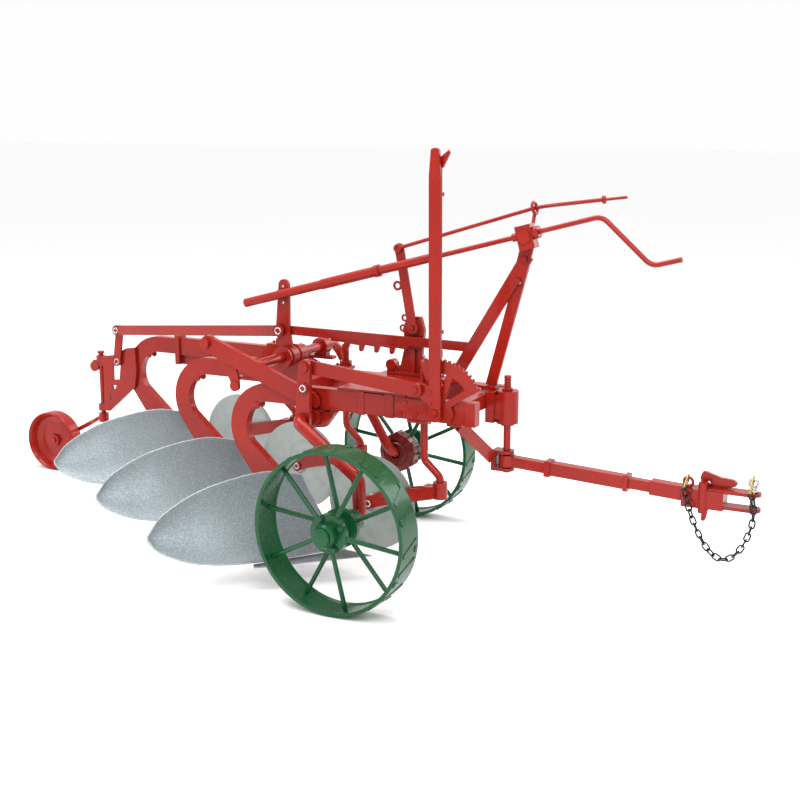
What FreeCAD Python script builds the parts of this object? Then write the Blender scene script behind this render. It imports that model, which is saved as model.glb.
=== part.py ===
"""Three-bottom tractor plow on three wheels: trailed mouldboard plow with screw depth control.

The document is laid out in the plow's own directions: +X is the way of travel, +Y is the
unplowed (left) side and +Z is up. Lengths are millimetres. While it is being built, every place is
measured from the point where the front furrow wheel stands on the ground, and each finished
sub-part is then carried to the middle of the plow's footprint by datum_x and datum_y.
"""
import FreeCAD, Part
import math
import os

import Sketcher

Vector = FreeCAD.Vector

# ---------------------------------------------------------------------------------------------
# Driving dimensions
# ---------------------------------------------------------------------------------------------
DIMENSIONS = {
    # place of the furrow wheel's ground contact in the finished part
    "datum_x": 620,
    "datum_y": -667.5,
    # bottoms: three 16-inch furrow slices
    "cut_width": 406,
    "bottom_spacing": 625,
    "share_point_x": -75,
    "share_point_z": 100,
    "front_beam_y": 450,
    "mouldboard_thickness": 9,
    "mouldboard_hollow": 34,
    "share_thickness": 13,
    # beams and standards
    "beam_bottom": 750,
    "beam_depth": 95,
    "beam_width": 44,
    "standard_depth": 85,
    "standard_bend": 167.5,
    "standard_tail": 400,
    # wheels
    "wheel_radius": 355,
    "lug_height": 5,
    "tyre_thickness": 12,
    "furrow_tyre_width": 140,
    "land_tyre_width": 116,
    "spoke_diameter": 20,
    "spoke_count": 10,
    "hub_barrel_radius": 56,
    "hub_flange_radius": 84,
    "wheel_axle_radius": 26,
    "running_gap": 0.5,
    "land_wheel_x": -378,
    "land_wheel_y": 1389,
    # furrow wheel crank axle
    "crank_tube_radius": 29,
    "furrow_pivot_x": -365,
    "furrow_pivot_z": 715,
    "furrow_arm_length": 235,
    # lift shaft on top of the beams
    "lift_shaft_x": -700,
    "lift_shaft_z": 905,
    "lift_shaft_radius": 24,
    "depth_arm_height": 363,
    "link_pin_height": 123,
    "link_pin_offset": -33,
    # plane of the tower, the depth screw and the hitch
    "tower_y": 760,
    "screw_pivot_x": -720,
    "screw_pivot_z": 1201,
    "trunnion_x": 531,
    "trunnion_z": 1533,
    "screw_tube_radius": 22,
    "screw_rod_radius": 11,
    "crank_throw": 243,
    # hand lever
    "lever_pivot_x": 262,
    "lever_pivot_z": 800,
    "lever_height": 1100,
    "lever_width": 54,
    "lever_thickness": 16,
    "quadrant_radius": 230,
    # hitch
    "post_x": 438,
    "post_radius": 16.5,
    "drawbar_z": 530,
    "clevis_pin_x": 1528,
    "clevis_pin_radius": 12.7,
    "clevis_gap": 52,
    # rolling coulters
    "coulter_radius": 216,
    "coulter_height": 345,
    "coulter_trail": 245,
    "coulter_shank_radius": 17,
    # rear furrow wheel
    "rear_wheel_radius": 170,
    "rear_wheel_x": -2632,
    "rear_post_x": -2255,
    "rear_post_radius": 14,
}


class Size:
    """A length that knows both its value and its spreadsheet formula."""

    def __init__(self, value, formula):
        self.value = value
        self.formula = formula

    def joined(self, other, sign, value):
        right = other.formula if isinstance(other, Size) else repr(other)
        return Size(value, f"({self.formula} {sign} {right})")

    def __float__(self):
        return float(self.value)

    def __add__(self, other):
        return self.joined(other, "+", self.value + float(other))

    def __sub__(self, other):
        return self.joined(other, "-", self.value - float(other))

    def __mul__(self, other):
        return self.joined(other, "*", self.value * float(other))

    def __truediv__(self, other):
        return self.joined(other, "/", self.value / float(other))

    __radd__ = __add__
    __rmul__ = __mul__


doc = FreeCAD.newDocument("TractorPlow")
sheet = doc.addObject("Spreadsheet::Sheet", "Sizes")
for row, (alias, number) in enumerate(DIMENSIONS.items(), start=1):
    sheet.set(f"A{row}", alias)
    sheet.set(f"B{row}", str(number))
    sheet.setAlias(f"B{row}", alias)
doc.recompute()


def size(alias):
    return Size(DIMENSIONS[alias], f"Sizes.{alias}")


def bind(item, prop, amount):
    """Give a property its value, and its formula where the amount has one."""
    setattr(item, prop, float(amount))
    if isinstance(amount, Size):
        item.setExpression(prop, amount.formula)


def point(x, y, z):
    return Vector(float(x), float(y), float(z))


# ---------------------------------------------------------------------------------------------
# Building blocks
# ---------------------------------------------------------------------------------------------
parts = {}


def publish(item, label):
    """Name a finished sub-part and carry it from the furrow wheel's datum to the part's origin."""
    item.Label = label
    item.Placement = FreeCAD.Placement(
        point(size("datum_x"), size("datum_y"), 0), FreeCAD.Rotation()
    ).multiply(item.Placement)
    parts[label] = item
    return item


def block(name, corner, length, width, height):
    item = doc.addObject("Part::Box", name)
    bind(item, "Length", length)
    bind(item, "Width", width)
    bind(item, "Height", height)
    item.Placement.Base = point(*corner)
    return item


def cylinder(name, start, direction, radius, height):
    item = doc.addObject("Part::Cylinder", name)
    bind(item, "Radius", radius)
    bind(item, "Height", height)
    turn = FreeCAD.Rotation(Vector(0, 0, 1), Vector(*direction))
    item.Placement = FreeCAD.Placement(point(*start), turn)
    return item


def rod(name, start, end, radius):
    """A round bar between two points."""
    start = point(*start)
    end = point(*end)
    run = end - start
    return cylinder(name, tuple(start), tuple(run), radius, run.Length)


def bar(name, start, end, depth, thickness):
    """A flat bar between two points of one XZ plane, its faces square to Y."""
    start = point(*start)
    run = point(*end) - start
    item = block(name, (0, 0, 0), run.Length, thickness, depth)
    slope = math.degrees(math.atan2(run.z, run.x))
    turn = FreeCAD.Rotation(Vector(0, -1, 0), slope)
    middle = Vector(0, float(thickness) / 2, float(depth) / 2)
    item.Placement = FreeCAD.Placement(start - turn.multVec(middle), turn)
    return item


def fuse(name, pieces):
    item = doc.addObject("Part::MultiFuse", name)
    item.Shapes = pieces
    item.Refine = True
    return item


def cut(name, base, tools):
    item = doc.addObject("Part::Cut", name)
    item.Base = base
    item.Tool = tools[0] if len(tools) == 1 else fuse(name + "_tools", tools)
    item.Refine = True
    return item


def group(name, pieces):
    """Separate solids that share one node."""
    item = doc.addObject("Part::Compound", name)
    item.Links = pieces
    return item


def plane_of(body, role):
    for feature in body.Origin.OriginFeatures:
        if feature.Role == role:
            return feature
    raise ValueError(role)


def outline(sketch, corners):
    """A closed outline. A corner is (x, y); ("arc", middle, end) is a round stretch."""
    start = corners[0]
    here = start
    for corner in corners[1:] + [start]:
        if corner[0] == "arc":
            end = corner[2]
            curve = Part.Arc(flat(here), flat(corner[1]), flat(end))
        else:
            end = corner
            if (flat(end) - flat(here)).Length < 1e-6:
                continue
            curve = Part.LineSegment(flat(here), flat(end))
        sketch.addGeometry(curve, False)
        here = end


def flat(pair):
    return Vector(float(pair[0]), float(pair[1]), 0)


def plate(name, corners, near_y, thickness):
    """A plate cut from an outline in the XZ plane, from near_y towards +Y."""
    body = doc.addObject("PartDesign::Body", name)
    sketch = body.newObject("Sketcher::SketchObject", name + "_outline")
    sketch.AttachmentSupport = [(plane_of(body, "XZ_Plane"), "")]
    sketch.MapMode = "FlatFace"
    outline(sketch, corners)
    pad = body.newObject("PartDesign::Pad", name + "_pad")
    pad.Profile = sketch
    bind(pad, "Length", thickness)
    pad.Reversed = True
    body.Placement.Base = point(0, near_y, 0)
    return body


def turned(name, corners, centre):
    """A turned piece about a Y axis: corners are (radius, distance along Y)."""
    body = doc.addObject("PartDesign::Body", name)
    sketch = body.newObject("Sketcher::SketchObject", name + "_section")
    sketch.AttachmentSupport = [(plane_of(body, "XY_Plane"), "")]
    sketch.MapMode = "FlatFace"
    corners = list(corners)
    for index in range(len(corners)):
        start = corners[index]
        end = corners[(index + 1) % len(corners)]
        sketch.addGeometry(Part.LineSegment(flat(start), flat(end)), False)
    for index in range(len(corners)):
        sketch.addConstraint(
            Sketcher.Constraint("Coincident", index, 2, (index + 1) % len(corners), 1)
        )
    for index, corner in enumerate(corners):
        for kind, amount in zip(("DistanceX", "DistanceY"), corner):
            if isinstance(amount, Size):
                row = sketch.addConstraint(
                    Sketcher.Constraint(kind, -1, 1, index, 1, float(amount))
                )
                sketch.renameConstraint(row, f"{kind}_{index}")
                sketch.setExpression(f"Constraints.{kind}_{index}", amount.formula)
    turn = body.newObject("PartDesign::Revolution", name + "_turn")
    turn.Profile = sketch
    turn.ReferenceAxis = (sketch, ["V_Axis"])
    turn.Angle = 360
    body.Placement.Base = point(*centre)
    return body


def bent_bar(name, route, bend, radius):
    """A round bar along straight runs joined by tangent arcs of one bend radius."""
    stops = [point(*stop) for stop in route]
    edges = []
    here = stops[0]
    for before, corner, after in zip(stops, stops[1:], stops[2:]):
        into = (corner - before).normalize()
        out = (after - corner).normalize()
        turn = into.getAngle(out)
        reach = float(bend) * math.tan(turn / 2)
        start = corner - into * reach
        end = corner + out * reach
        inward = (out - into).normalize()
        middle = corner + inward * (float(bend) / math.cos(turn / 2) - float(bend))
        edges.append(Part.LineSegment(here, start).toShape())
        edges.append(Part.Arc(start, middle, end).toShape())
        here = end
    edges.append(Part.LineSegment(here, stops[-1]).toShape())
    spine = doc.addObject("Part::Feature", name + "_route")
    spine.Shape = Part.Wire(edges)
    profile = doc.addObject("Part::Circle", name + "_section")
    bind(profile, "Radius", radius)
    first_run = (stops[1] - stops[0]).normalize()
    turn = FreeCAD.Rotation(Vector(0, 0, 1), first_run)
    profile.Placement = FreeCAD.Placement(stops[0], turn)
    sweep = doc.addObject("Part::Sweep", name)
    sweep.Sections = [profile]
    sweep.Spine = spine
    sweep.Solid = True
    sweep.Frenet = False
    return sweep


def bolt(name, centre, direction, radius, grip, across=1.7):
    """A bolt with a hexagon head at each end of its grip; centre is the first head's seat."""
    start = point(*centre)
    along = Vector(*direction).normalize()
    shank = rod(name + "_shank", tuple(start), tuple(start + along * float(grip)), radius)
    heads = []
    for number, seat in enumerate((start - along * (0.9 * radius), start + along * float(grip))):
        head = doc.addObject("Part::Prism", f"{name}_head{number}")
        head.Polygon = 6
        bind(head, "Circumradius", radius * across)
        bind(head, "Height", 0.9 * radius)
        head.Placement = FreeCAD.Placement(seat, FreeCAD.Rotation(Vector(0, 0, 1), along))
        heads.append(head)
    return fuse(name, [shank] + heads)


# ---------------------------------------------------------------------------------------------
# The three bottoms
# ---------------------------------------------------------------------------------------------
BOTTOMS = ("front", "middle", "rear")
beam_top = size("beam_bottom") + size("beam_depth")


def bottom_x(index):
    """Where the share point of a bottom lies; each bottom follows one spacing behind."""
    return size("share_point_x") - size("bottom_spacing") * index


def bottom_y(index):
    """Middle plane of a bottom's beam; each bottom is one furrow slice further left."""
    return size("front_beam_y") + size("cut_width") * index


def smooth_curve(stops, count):
    """Evenly spaced points of a smooth curve through the stops, with the curve's tangents."""
    curve = Part.BSplineCurve()
    curve.interpolate([Vector(*stop) for stop in stops])
    first = curve.FirstParameter
    span = curve.LastParameter - first
    places = [first + span * number / (count - 1) for number in range(count)]
    return [(curve.value(place), curve.tangent(place)[0]) for place in places]


def section_of_sheet(low, high, back, hollow, thickness):
    """A hollowed strip between two edges, as a closed wire with round front and back."""
    front = (low + high) * 0.5 + back * hollow
    rear_low = low + back * thickness
    rear_high = high + back * thickness
    rear = front + back * thickness
    return Part.Wire(
        [
            Part.Arc(low, front, high).toShape(),
            Part.LineSegment(high, rear_high).toShape(),
            Part.Arc(rear_high, rear, rear_low).toShape(),
            Part.LineSegment(rear_low, low).toShape(),
        ]
    )


def mouldboard(index):
    """The curved sheet that turns the slice: a loft of hollow strips from shin to wing tip."""
    stations = 13
    low_edge = smooth_curve(
        [(-205, 430, 122), (-460, 78, 118), (-640, -84, 132), (-775, -165, 182), (-838, -178, 236)],
        stations,
    )
    high_edge = smooth_curve(
        [(-433, 440, 435), (-569, 322, 457), (-728, 102, 414), (-822, -72, 332), (-846, -168, 250)],
        stations,
    )
    sections = []
    for station in range(stations):
        low, low_run = low_edge[station]
        high, high_run = high_edge[station]
        back = (low_run + high_run).cross(high - low).normalize()
        if back.x > 0:
            back = back * -1
        fade = 1 - station / (stations - 1)
        hollow = float(size("mouldboard_hollow")) * fade ** 0.5 + 1
        sections.append(
            section_of_sheet(low, high, back, hollow, float(size("mouldboard_thickness")))
        )
    sheet_of_steel = doc.addObject("Part::Feature", f"mouldboard_{BOTTOMS[index]}")
    sheet_of_steel.Shape = Part.makeLoft(sections, True, False)
    shift_to_bottom(sheet_of_steel, index)
    publish(sheet_of_steel, f"mouldboard_{BOTTOMS[index]}")


def shift_to_bottom(item, index):
    back = float(size("bottom_spacing")) * index
    left = float(size("cut_width")) * index
    item.Placement.Base = item.Placement.Base + Vector(-back, left, 0)


def cutting_share(index):
    """The cutting share: a wedge strip under the mouldboard's seam, from point to wing."""
    point_end = Vector(float(size("share_point_x")), 448, float(size("share_point_z")))
    wing_end = Vector(-452, 62, 100)
    seam_front = Vector(-212, 436, 113)
    seam_wing = Vector(-468, 84, 108)
    lift = Vector(-0.35, 0.25, 0.9).normalize() * float(size("share_thickness"))
    ends = []
    for edge, seam in ((wing_end, seam_wing), (point_end, seam_front)):
        corners = [edge, seam, seam - lift, edge - lift * 0.25]
        ends.append(Part.makePolygon(corners + [corners[0]]))
    item = doc.addObject("Part::Feature", f"share_{BOTTOMS[index]}")
    item.Shape = Part.makeLoft(ends, True, True)
    shift_to_bottom(item, index)
    publish(item, f"share_{BOTTOMS[index]}")


def standard(index):
    """Gooseneck: level tail, round hook to the rear, straight leg down to the frog."""
    tail_x = bottom_x(index) - size("standard_tail")
    centre_x = tail_x - 120
    centre_z = beam_top - 5 - size("standard_depth") / 2 - size("standard_bend")
    half = float(size("standard_depth")) / 2
    outer = float(size("standard_bend")) + half
    inner = float(size("standard_bend")) - half
    leg = 330
    hook = math.radians(216)
    half_way = math.radians(153)

    def on_arc(radius, angle):
        x = float(centre_x) + radius * math.cos(angle)
        return (x, float(centre_z) + radius * math.sin(angle))

    def leg_end(radius):
        x, z = on_arc(radius, hook)
        return (x - leg * math.sin(hook), z + leg * math.cos(hook))

    toe_x, toe_z = leg_end(inner)
    corners = [
        (tail_x, centre_z + outer),
        (centre_x, centre_z + outer),
        ("arc", on_arc(outer, half_way), on_arc(outer, hook)),
        leg_end(outer),
        (toe_x + 26, toe_z),
        (toe_x + 46, toe_z + 60),
        on_arc(inner, hook),
        ("arc", on_arc(inner, half_way), (centre_x, centre_z + inner)),
        (tail_x, centre_z + inner),
    ]
    near_y = bottom_y(index) - size("beam_width") / 2
    body = plate(f"standard_{BOTTOMS[index]}", corners, near_y, size("beam_width"))
    publish(body, f"standard_{BOTTOMS[index]}")


def frogs():
    """The castings that hold standard, mouldboard, share and landside together."""
    pieces = []
    for index in range(3):
        foot_x = float(bottom_x(index)) - 505
        foot_y = float(bottom_y(index))
        corners = [
            (foot_x - 30, 160),
            (foot_x + 150, 160),
            (foot_x + 120, 215),
            (foot_x + 98, 262),
            (foot_x - 16, 182),
        ]
        web = plate(f"frog_web_{index}", corners, foot_y - 14, 28)
        heel = block(f"frog_heel_{index}", (foot_x - 30, foot_y - 14, 118), 210, 28, 42)
        pieces.append(fuse(f"frog_{index}", [web, heel]))
    publish(group("frog_group", pieces), "frogs")


def landsides():
    """The long plates that slide along the furrow wall."""
    pieces = []
    for index in range(3):
        x = float(bottom_x(index))
        near_y = float(bottom_y(index)) + 14.5
        corners = [
            (x - 640, 100),
            (x - 150, 100),
            (x - 190, 150),
            (x - 300, 190),
            (x - 640, 190),
        ]
        pieces.append(plate(f"landside_{index}", corners, near_y, 12))
    publish(group("landside_group", pieces), "landsides")


# ---------------------------------------------------------------------------------------------
# Frame
# ---------------------------------------------------------------------------------------------
def straight_beam(index, front_x):
    tail_x = bottom_x(index) - size("standard_tail")
    near_y = bottom_y(index) - size("beam_width") / 2
    length = float(front_x) - float(tail_x)
    return block(
        f"beam_bar_{index}",
        (tail_x, near_y, size("beam_bottom")),
        length,
        size("beam_width"),
        size("beam_depth"),
    )


def front_beam():
    """The right-hand beam, with two wrapped straps and a web under the axle arm."""
    bar_of_beam = straight_beam(0, 430)
    near_y = float(bottom_y(0)) - 25
    straps = [
        block(f"beam_strap_{number}", (x, near_y, 746), width, 50, 103)
        for number, (x, width) in enumerate(((-130, 32), (4, 44), (388, 46)))
    ]
    publish(fuse("front_beam", [bar_of_beam] + straps), "beam_front")


def middle_beam():
    publish(group("middle_beam", [straight_beam(1, 400)]), "beam_middle")


def rear_beam():
    """The left-hand beam, whose front end bends in to meet the middle beam."""
    tail_x = float(bottom_x(2) - size("standard_tail"))
    y = float(bottom_y(2))
    middle_y = float(bottom_y(1)) + 22
    bend_x = -1000
    radius = 160
    turn = math.radians(42)
    reach = radius * math.tan(turn / 2)
    run = (y - middle_y) / math.sin(turn)
    corner = Vector(bend_x, y, 0)
    out = Vector(math.cos(turn), -math.sin(turn), 0)
    tip = corner + out * run
    half = float(size("beam_width")) / 2
    side = Vector(math.sin(turn), math.cos(turn), 0) * half
    centre = Vector(bend_x - reach, y - radius, 0)

    def around(distance, angle):
        return centre + Vector(math.sin(angle), math.cos(angle), 0) * distance

    far = around(radius + half, 0)
    near = around(radius - half, 0)
    slant = half * math.cos(turn) / math.sin(turn)
    far_tip = tip + side + out * slant
    near_tip = tip - side - out * slant
    edges = [
        Part.LineSegment(Vector(tail_x, y + half, 0), far),
        Part.Arc(far, around(radius + half, turn / 2), around(radius + half, turn)),
        Part.LineSegment(around(radius + half, turn), far_tip),
        Part.LineSegment(far_tip, near_tip),
        Part.LineSegment(near_tip, around(radius - half, turn)),
        Part.Arc(around(radius - half, turn), around(radius - half, turn / 2), near),
        Part.LineSegment(near, Vector(tail_x, y - half, 0)),
        Part.LineSegment(Vector(tail_x, y - half, 0), Vector(tail_x, y + half, 0)),
    ]
    outline_face = Part.Face(Part.Wire([edge.toShape() for edge in edges]))
    flat_shape = doc.addObject("Part::Feature", "rear_beam_outline")
    flat_shape.Shape = outline_face
    flat_shape.Placement.Base.z = float(size("beam_bottom"))
    solid = doc.addObject("Part::Extrusion", "rear_beam_bar")
    solid.Base = flat_shape
    solid.DirMode = "Custom"
    solid.Dir = Vector(0, 0, 1)
    solid.Solid = True
    bind(solid, "LengthFwd", size("beam_depth"))
    near_face = y - half
    gusset = plate(
        "rear_beam_gusset",
        [(tail_x, 700), (tail_x + 190, 694), (tail_x + 250, 749), (tail_x, 749)],
        near_face + 15,
        14,
    )
    flanges = [
        block("rear_beam_flange", (tail_x, near_face - 12, 700), 28, 68, 158),
        block("rear_beam_rib", (tail_x + 208, near_face - 7, 742), 18, 58, 110),
    ]
    publish(fuse("rear_beam", [solid, gusset] + flanges), "beam_rear")


def lift_brace():
    """Sloping arm on the near side of the front beam, with its boss and hanger."""
    low = (-352, 410, 786)
    high = (-905, 410, 1000)
    arm = bar("brace_arm", low, high, 78, 14)
    run = math.hypot(high[0] - low[0], high[2] - low[2])
    lift = 39 / run
    offset = ((high[2] - low[2]) * lift, (high[0] - low[0]) * lift)
    flange_low = (low[0] + offset[0] * 0.92, 415.5, low[2] - offset[1] * 0.92)
    flange_high = (high[0] + offset[0] * 0.92, 415.5, high[2] - offset[1] * 0.92)
    flange = bar("brace_flange", flange_low, flange_high, 7, 25)
    foot = cylinder("brace_foot", (low[0], 403, low[2]), (0, 1, 0), 38, 14)
    head = cylinder("brace_head", (high[0], 403, high[2]), (0, 1, 0), 42, 24)
    boss = cylinder("brace_boss", (high[0] - 12, 386, high[2] + 4), (0, 1, 0), 25, 20)
    hanger = plate(
        "brace_hanger",
        [
            (-905, 975),
            ("arc", (-858, 955), (-822, 900)),
            (-790, 818),
            ("arc", (-771, 798), (-748, 818)),
            ("arc", (-776, 926), (-870, 1010)),
        ],
        417,
        11,
    )
    knuckle = cylinder("brace_knuckle", (-771, 411, 815), (0, 1, 0), 24, 17)
    pieces = [arm, flange, foot, head, boss, hanger, knuckle]
    pivot = (size("furrow_pivot_x"), 380, size("furrow_pivot_z"))
    relief = cylinder("brace_relief", pivot, (0, 1, 0), 52, 60)
    publish(cut("brace", fuse("brace_solid", pieces), [relief]), "lift_brace")


def crossbars():
    """Two cross members that tie the beams together behind the hitch."""
    near = float(bottom_y(0)) + 22
    span = float(bottom_y(1)) - 22 - near
    bars = [
        block("crossbar_front", (296, near, 768), 62, span, 62),
        block("crossbar_rear", (-560, near, 768), 62, span, 62),
    ]
    publish(group("crossbar_group", bars), "crossbars")


def deck_plate():
    near = float(bottom_y(0)) - 20
    width = float(bottom_y(1)) + 20 - near
    deck = block("deck_sheet", (-235, near, beam_top), 400, width, 12)
    window = block("deck_window", (-130, near + 90, 800), 130, 170, 100)
    notch = block("deck_notch", (106, near - 10, 800), 80, 130, 100)
    relief = block("deck_relief", (-132, near - 10, 840), 182, 60, 9.2)
    publish(cut("deck", deck, [window, notch, relief]), "deck_plate")


def hitch_casting():
    """The front casting that carries the upright hitch post."""
    y = size("tower_y")
    back = block("hitch_back", (358, y - 62, 706), 40, 124, 137)
    barrel = cylinder("hitch_barrel", (size("post_x"), y, 700), (0, 0, 1), 50, 146)
    collar = cylinder("hitch_collar", (size("post_x"), y, 690), (0, 0, 1), 30, 12)
    cheeks = [
        block(f"hitch_cheek_{number}", (390, y - 50 + 86 * number, 720), 50, 14, 110)
        for number in range(2)
    ]
    body = fuse("hitch_solid", [back, barrel, collar] + cheeks)
    bore = cylinder("hitch_bore", (size("post_x"), y, 600), (0, 0, 1), size("post_radius") + 0.5, 400)
    publish(cut("hitch_bored", body, [bore]), "hitch_casting")


def hitch_post():
    """The upright post: grooved head above the casting, foot in the lower fork."""
    y = size("tower_y")
    x = size("post_x")
    post = cylinder("post_bar", (x, y, 476), (0, 0, 1), size("post_radius"), 436)
    seat = cylinder("post_seat", (x, y, 846.5), (0, 0, 1), 24, 9)
    grooves = []
    for number in range(3):
        ring = cylinder(f"post_ring_{number}", (x, y, 866 + 14 * number), (0, 0, 1), 24, 5)
        core = cylinder(f"post_core_{number}", (x, y, 866 + 14 * number), (0, 0, 1), 13.5, 5)
        grooves.append(cut(f"post_groove_{number}", ring, [core]))
    publish(cut("post_grooved", fuse("post_solid", [post, seat]), grooves), "hitch_post")


def hitch_stay():
    """Sloping stay from the front beam to the fork that steadies the foot of the post."""
    y = float(size("tower_y"))
    x = float(size("post_x"))
    start = Vector(352, float(bottom_y(0)) + 8, 738)
    end = Vector(x - 54, y - 30, 540)
    run = end - start
    stay = block("stay_bar", (0, 0, 0), run.Length, 16, 54)
    slope = FreeCAD.Rotation(Vector(1, 0, 0), run)
    stay.Placement = FreeCAD.Placement(start - slope.multVec(Vector(0, 8, 27)), slope)
    seat = block("stay_seat", (300, float(bottom_y(0)) - 20, 738), 70, 44, 12)
    back = block("fork_back", (x - 62, y - 34, 484), 18, 68, 92)
    jaws = []
    for number, z in enumerate((484, 562)):
        arm = block(f"fork_arm_{number}", (x - 50, y - 34, z), 50, 68, 14)
        nose = cylinder(f"fork_nose_{number}", (x, y, z), (0, 0, 1), 34, 14)
        jaws += [arm, nose]
    bore = cylinder("fork_bore", (x, y, 400), (0, 0, 1), size("post_radius") + 0.5, 250)
    room = cylinder("fork_room", (x, y, 498), (0, 0, 1), 42, 64)
    under_beam = block("stay_trim", (200, float(bottom_y(0)) - 40, 750), 260, 120, 60)
    solid = fuse("stay_solid", [stay, seat, back] + jaws)
    publish(cut("stay_bored", solid, [bore, room, under_beam]), "hitch_stay")


def tower():
    """Two flat legs that lean together over the hitch and carry the screw's trunnion."""
    y = float(size("tower_y"))
    top = (523, 1440)
    rear_leg = bar("tower_rear_leg", (166, y, 857), (top[0], y, top[1]), 56, 14)
    front_leg = bar("tower_front_leg", (352, y + 14, 857), (501, y + 14, 1400), 50, 14)
    cap = bar("tower_cap", (480, y, 1322), (541, y, 1560), 58, 14)
    rear_foot = block("tower_rear_foot", (112, y - 20, 857.2), 88, 40, 12)
    front_foot = block("tower_front_foot", (300, y - 14, 845.2), 84, 44, 14)
    leg_ends = [
        block("tower_trim_rear", (40, y - 60, 780), 230, 120, 77.2),
        block("tower_trim_front", (280, y - 60, 760), 200, 120, 85.2),
    ]
    bolts = [
        bolt("tower_bolt_low", (482, y - 9, 1330), (0, 1, 0), 9, 32),
        bolt("tower_bolt_high", (510, y - 9, 1425), (0, 1, 0), 9, 32),
    ]
    legs = fuse("tower_legs", [rear_leg, front_leg, cap, rear_foot, front_foot] + bolts)
    guide_stem = rod("guide_stem", (540, y + 2, 1563), (534, y + 40, 1613), 8)
    ring = doc.addObject("Part::Torus", "guide_ring")
    ring.Radius1 = 25
    ring.Radius2 = 7
    ring.Placement = FreeCAD.Placement(
        Vector(534, y + 40, 1640), FreeCAD.Rotation(Vector(0, 0, 1), Vector(1, 0, 0.27))
    )
    pivot = (size("trunnion_x"), y - 60, size("trunnion_z"))
    bore = cylinder("tower_bore", pivot, (0, 1, 0), 15.4, 120)
    frame = cut("tower_trimmed", legs, leg_ends + [bore])
    publish(fuse("tower", [frame, guide_stem, ring]), "screw_tower")


def quadrant():
    """Toothed sector and side bracket for the hand lever, bolted to the front beam."""
    x = float(size("lever_pivot_x"))
    z = float(size("lever_pivot_z"))
    radius = float(size("quadrant_radius"))
    near_y = float(bottom_y(0)) - 36
    first = math.radians(28)
    last = math.radians(112)
    tooth_count = 15
    corners = []
    pitch = (last - first) / tooth_count
    for number in range(tooth_count):
        for part_of_pitch, reach in ((0.12, 0), (0.34, 11), (0.66, 11), (0.88, 0)):
            angle = first + (number + part_of_pitch) * pitch
            r = radius - 11 + reach
            corners.append((x + r * math.cos(angle), z + r * math.sin(angle)))
    inner = radius - 62
    end = (x + inner * math.cos(last), z + inner * math.sin(last))
    begin = (x + inner * math.cos(first), z + inner * math.sin(first))
    middle_angle = (first + last) / 2
    middle = (x + inner * math.cos(middle_angle), z + inner * math.sin(middle_angle))
    corners += [end, ("arc", middle, begin)]
    rim = plate("quadrant_rim", corners, near_y, 14)
    spokes = []
    for number, angle in enumerate((34, 70, 106)):
        reach = radius - 40
        tip = (
            x + reach * math.cos(math.radians(angle)),
            near_y + 7,
            z + reach * math.sin(math.radians(angle)),
        )
        spokes.append(bar(f"quadrant_spoke_{number}", (x, near_y + 7, z), tip, 30, 14))
    bracket = plate(
        "quadrant_bracket",
        [
            (x - 200, z - 44),
            (x + 60, z - 44),
            (x + 78, z - 8),
            (x + 60, z + 42),
            (x - 170, z + 42),
            (x - 200, z + 20),
        ],
        near_y,
        14,
    )
    rivets = [
        cylinder(f"quadrant_rivet_{number}", (x + dx, near_y - 5, z + dz), (0, 1, 0), 11, 6)
        for number, (dx, dz) in enumerate(((-176, -26), (-150, 24), (-100, -22)))
    ]
    pin = cylinder("quadrant_pin", (x, near_y - 30, z), (0, 1, 0), 15, 36)
    publish(fuse("quadrant", [rim, bracket, pin] + spokes + rivets), "lever_quadrant")


def axle_bearings():
    """Bearing blocks: three under the lift shaft, one for the furrow wheel's crank axle."""
    gap = size("running_gap")
    x = float(size("lift_shaft_x"))
    z = float(size("lift_shaft_z"))
    pieces = []
    for number, y in enumerate((bottom_y(0), bottom_y(1), 1075)):
        y = float(y)
        foot = block(f"bearing_foot_{number}", (x - 70, y - 22, beam_top), 140, 44, 14)
        hub = cylinder(f"bearing_hub_{number}", (x, y - 26, z), (0, 1, 0), 44, 52)
        web = block(f"bearing_web_{number}", (x - 34, y - 20, beam_top), 68, 40, 40)
        bore = cylinder(
            f"bearing_bore_{number}", (x, y - 60, z), (0, 1, 0), size("lift_shaft_radius") + gap, 120
        )
        pieces.append(cut(f"bearing_{number}", fuse(f"bearing_body_{number}", [foot, hub, web]), [bore]))
    pivot_x = float(size("furrow_pivot_x"))
    pivot_z = float(size("furrow_pivot_z"))
    seat = block("axle_bearing_seat", (pivot_x - 62, 420, 737), 124, 74, 13)
    cheek = plate(
        "axle_bearing_cheek",
        [(pivot_x - 50, 740), (pivot_x + 118, 740), (pivot_x + 60, 668), (pivot_x, 660)],
        430,
        40,
    )
    hub = cylinder("axle_bearing_hub", (pivot_x, 400, pivot_z), (0, 1, 0), 50, 104)
    trim = block("axle_bearing_trim", (pivot_x - 120, 300, 749.9), 400, 300, 60)
    bore = cylinder(
        "axle_bearing_bore", (pivot_x, 300, pivot_z), (0, 1, 0), size("crank_tube_radius") + gap, 400
    )
    pieces.append(cut("axle_bearing", fuse("axle_bearing_body", [seat, cheek, hub]), [bore, trim]))
    publish(group("bearing_group", pieces), "axle_bearings")


# ---------------------------------------------------------------------------------------------
# Rolling coulters
# ---------------------------------------------------------------------------------------------
def coulter_places(index):
    """Middle of a coulter's disc, and the X of its upright shank."""
    disc_x = bottom_x(index) - 10
    return disc_x, bottom_y(index) + 12, disc_x + size("coulter_trail")


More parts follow.
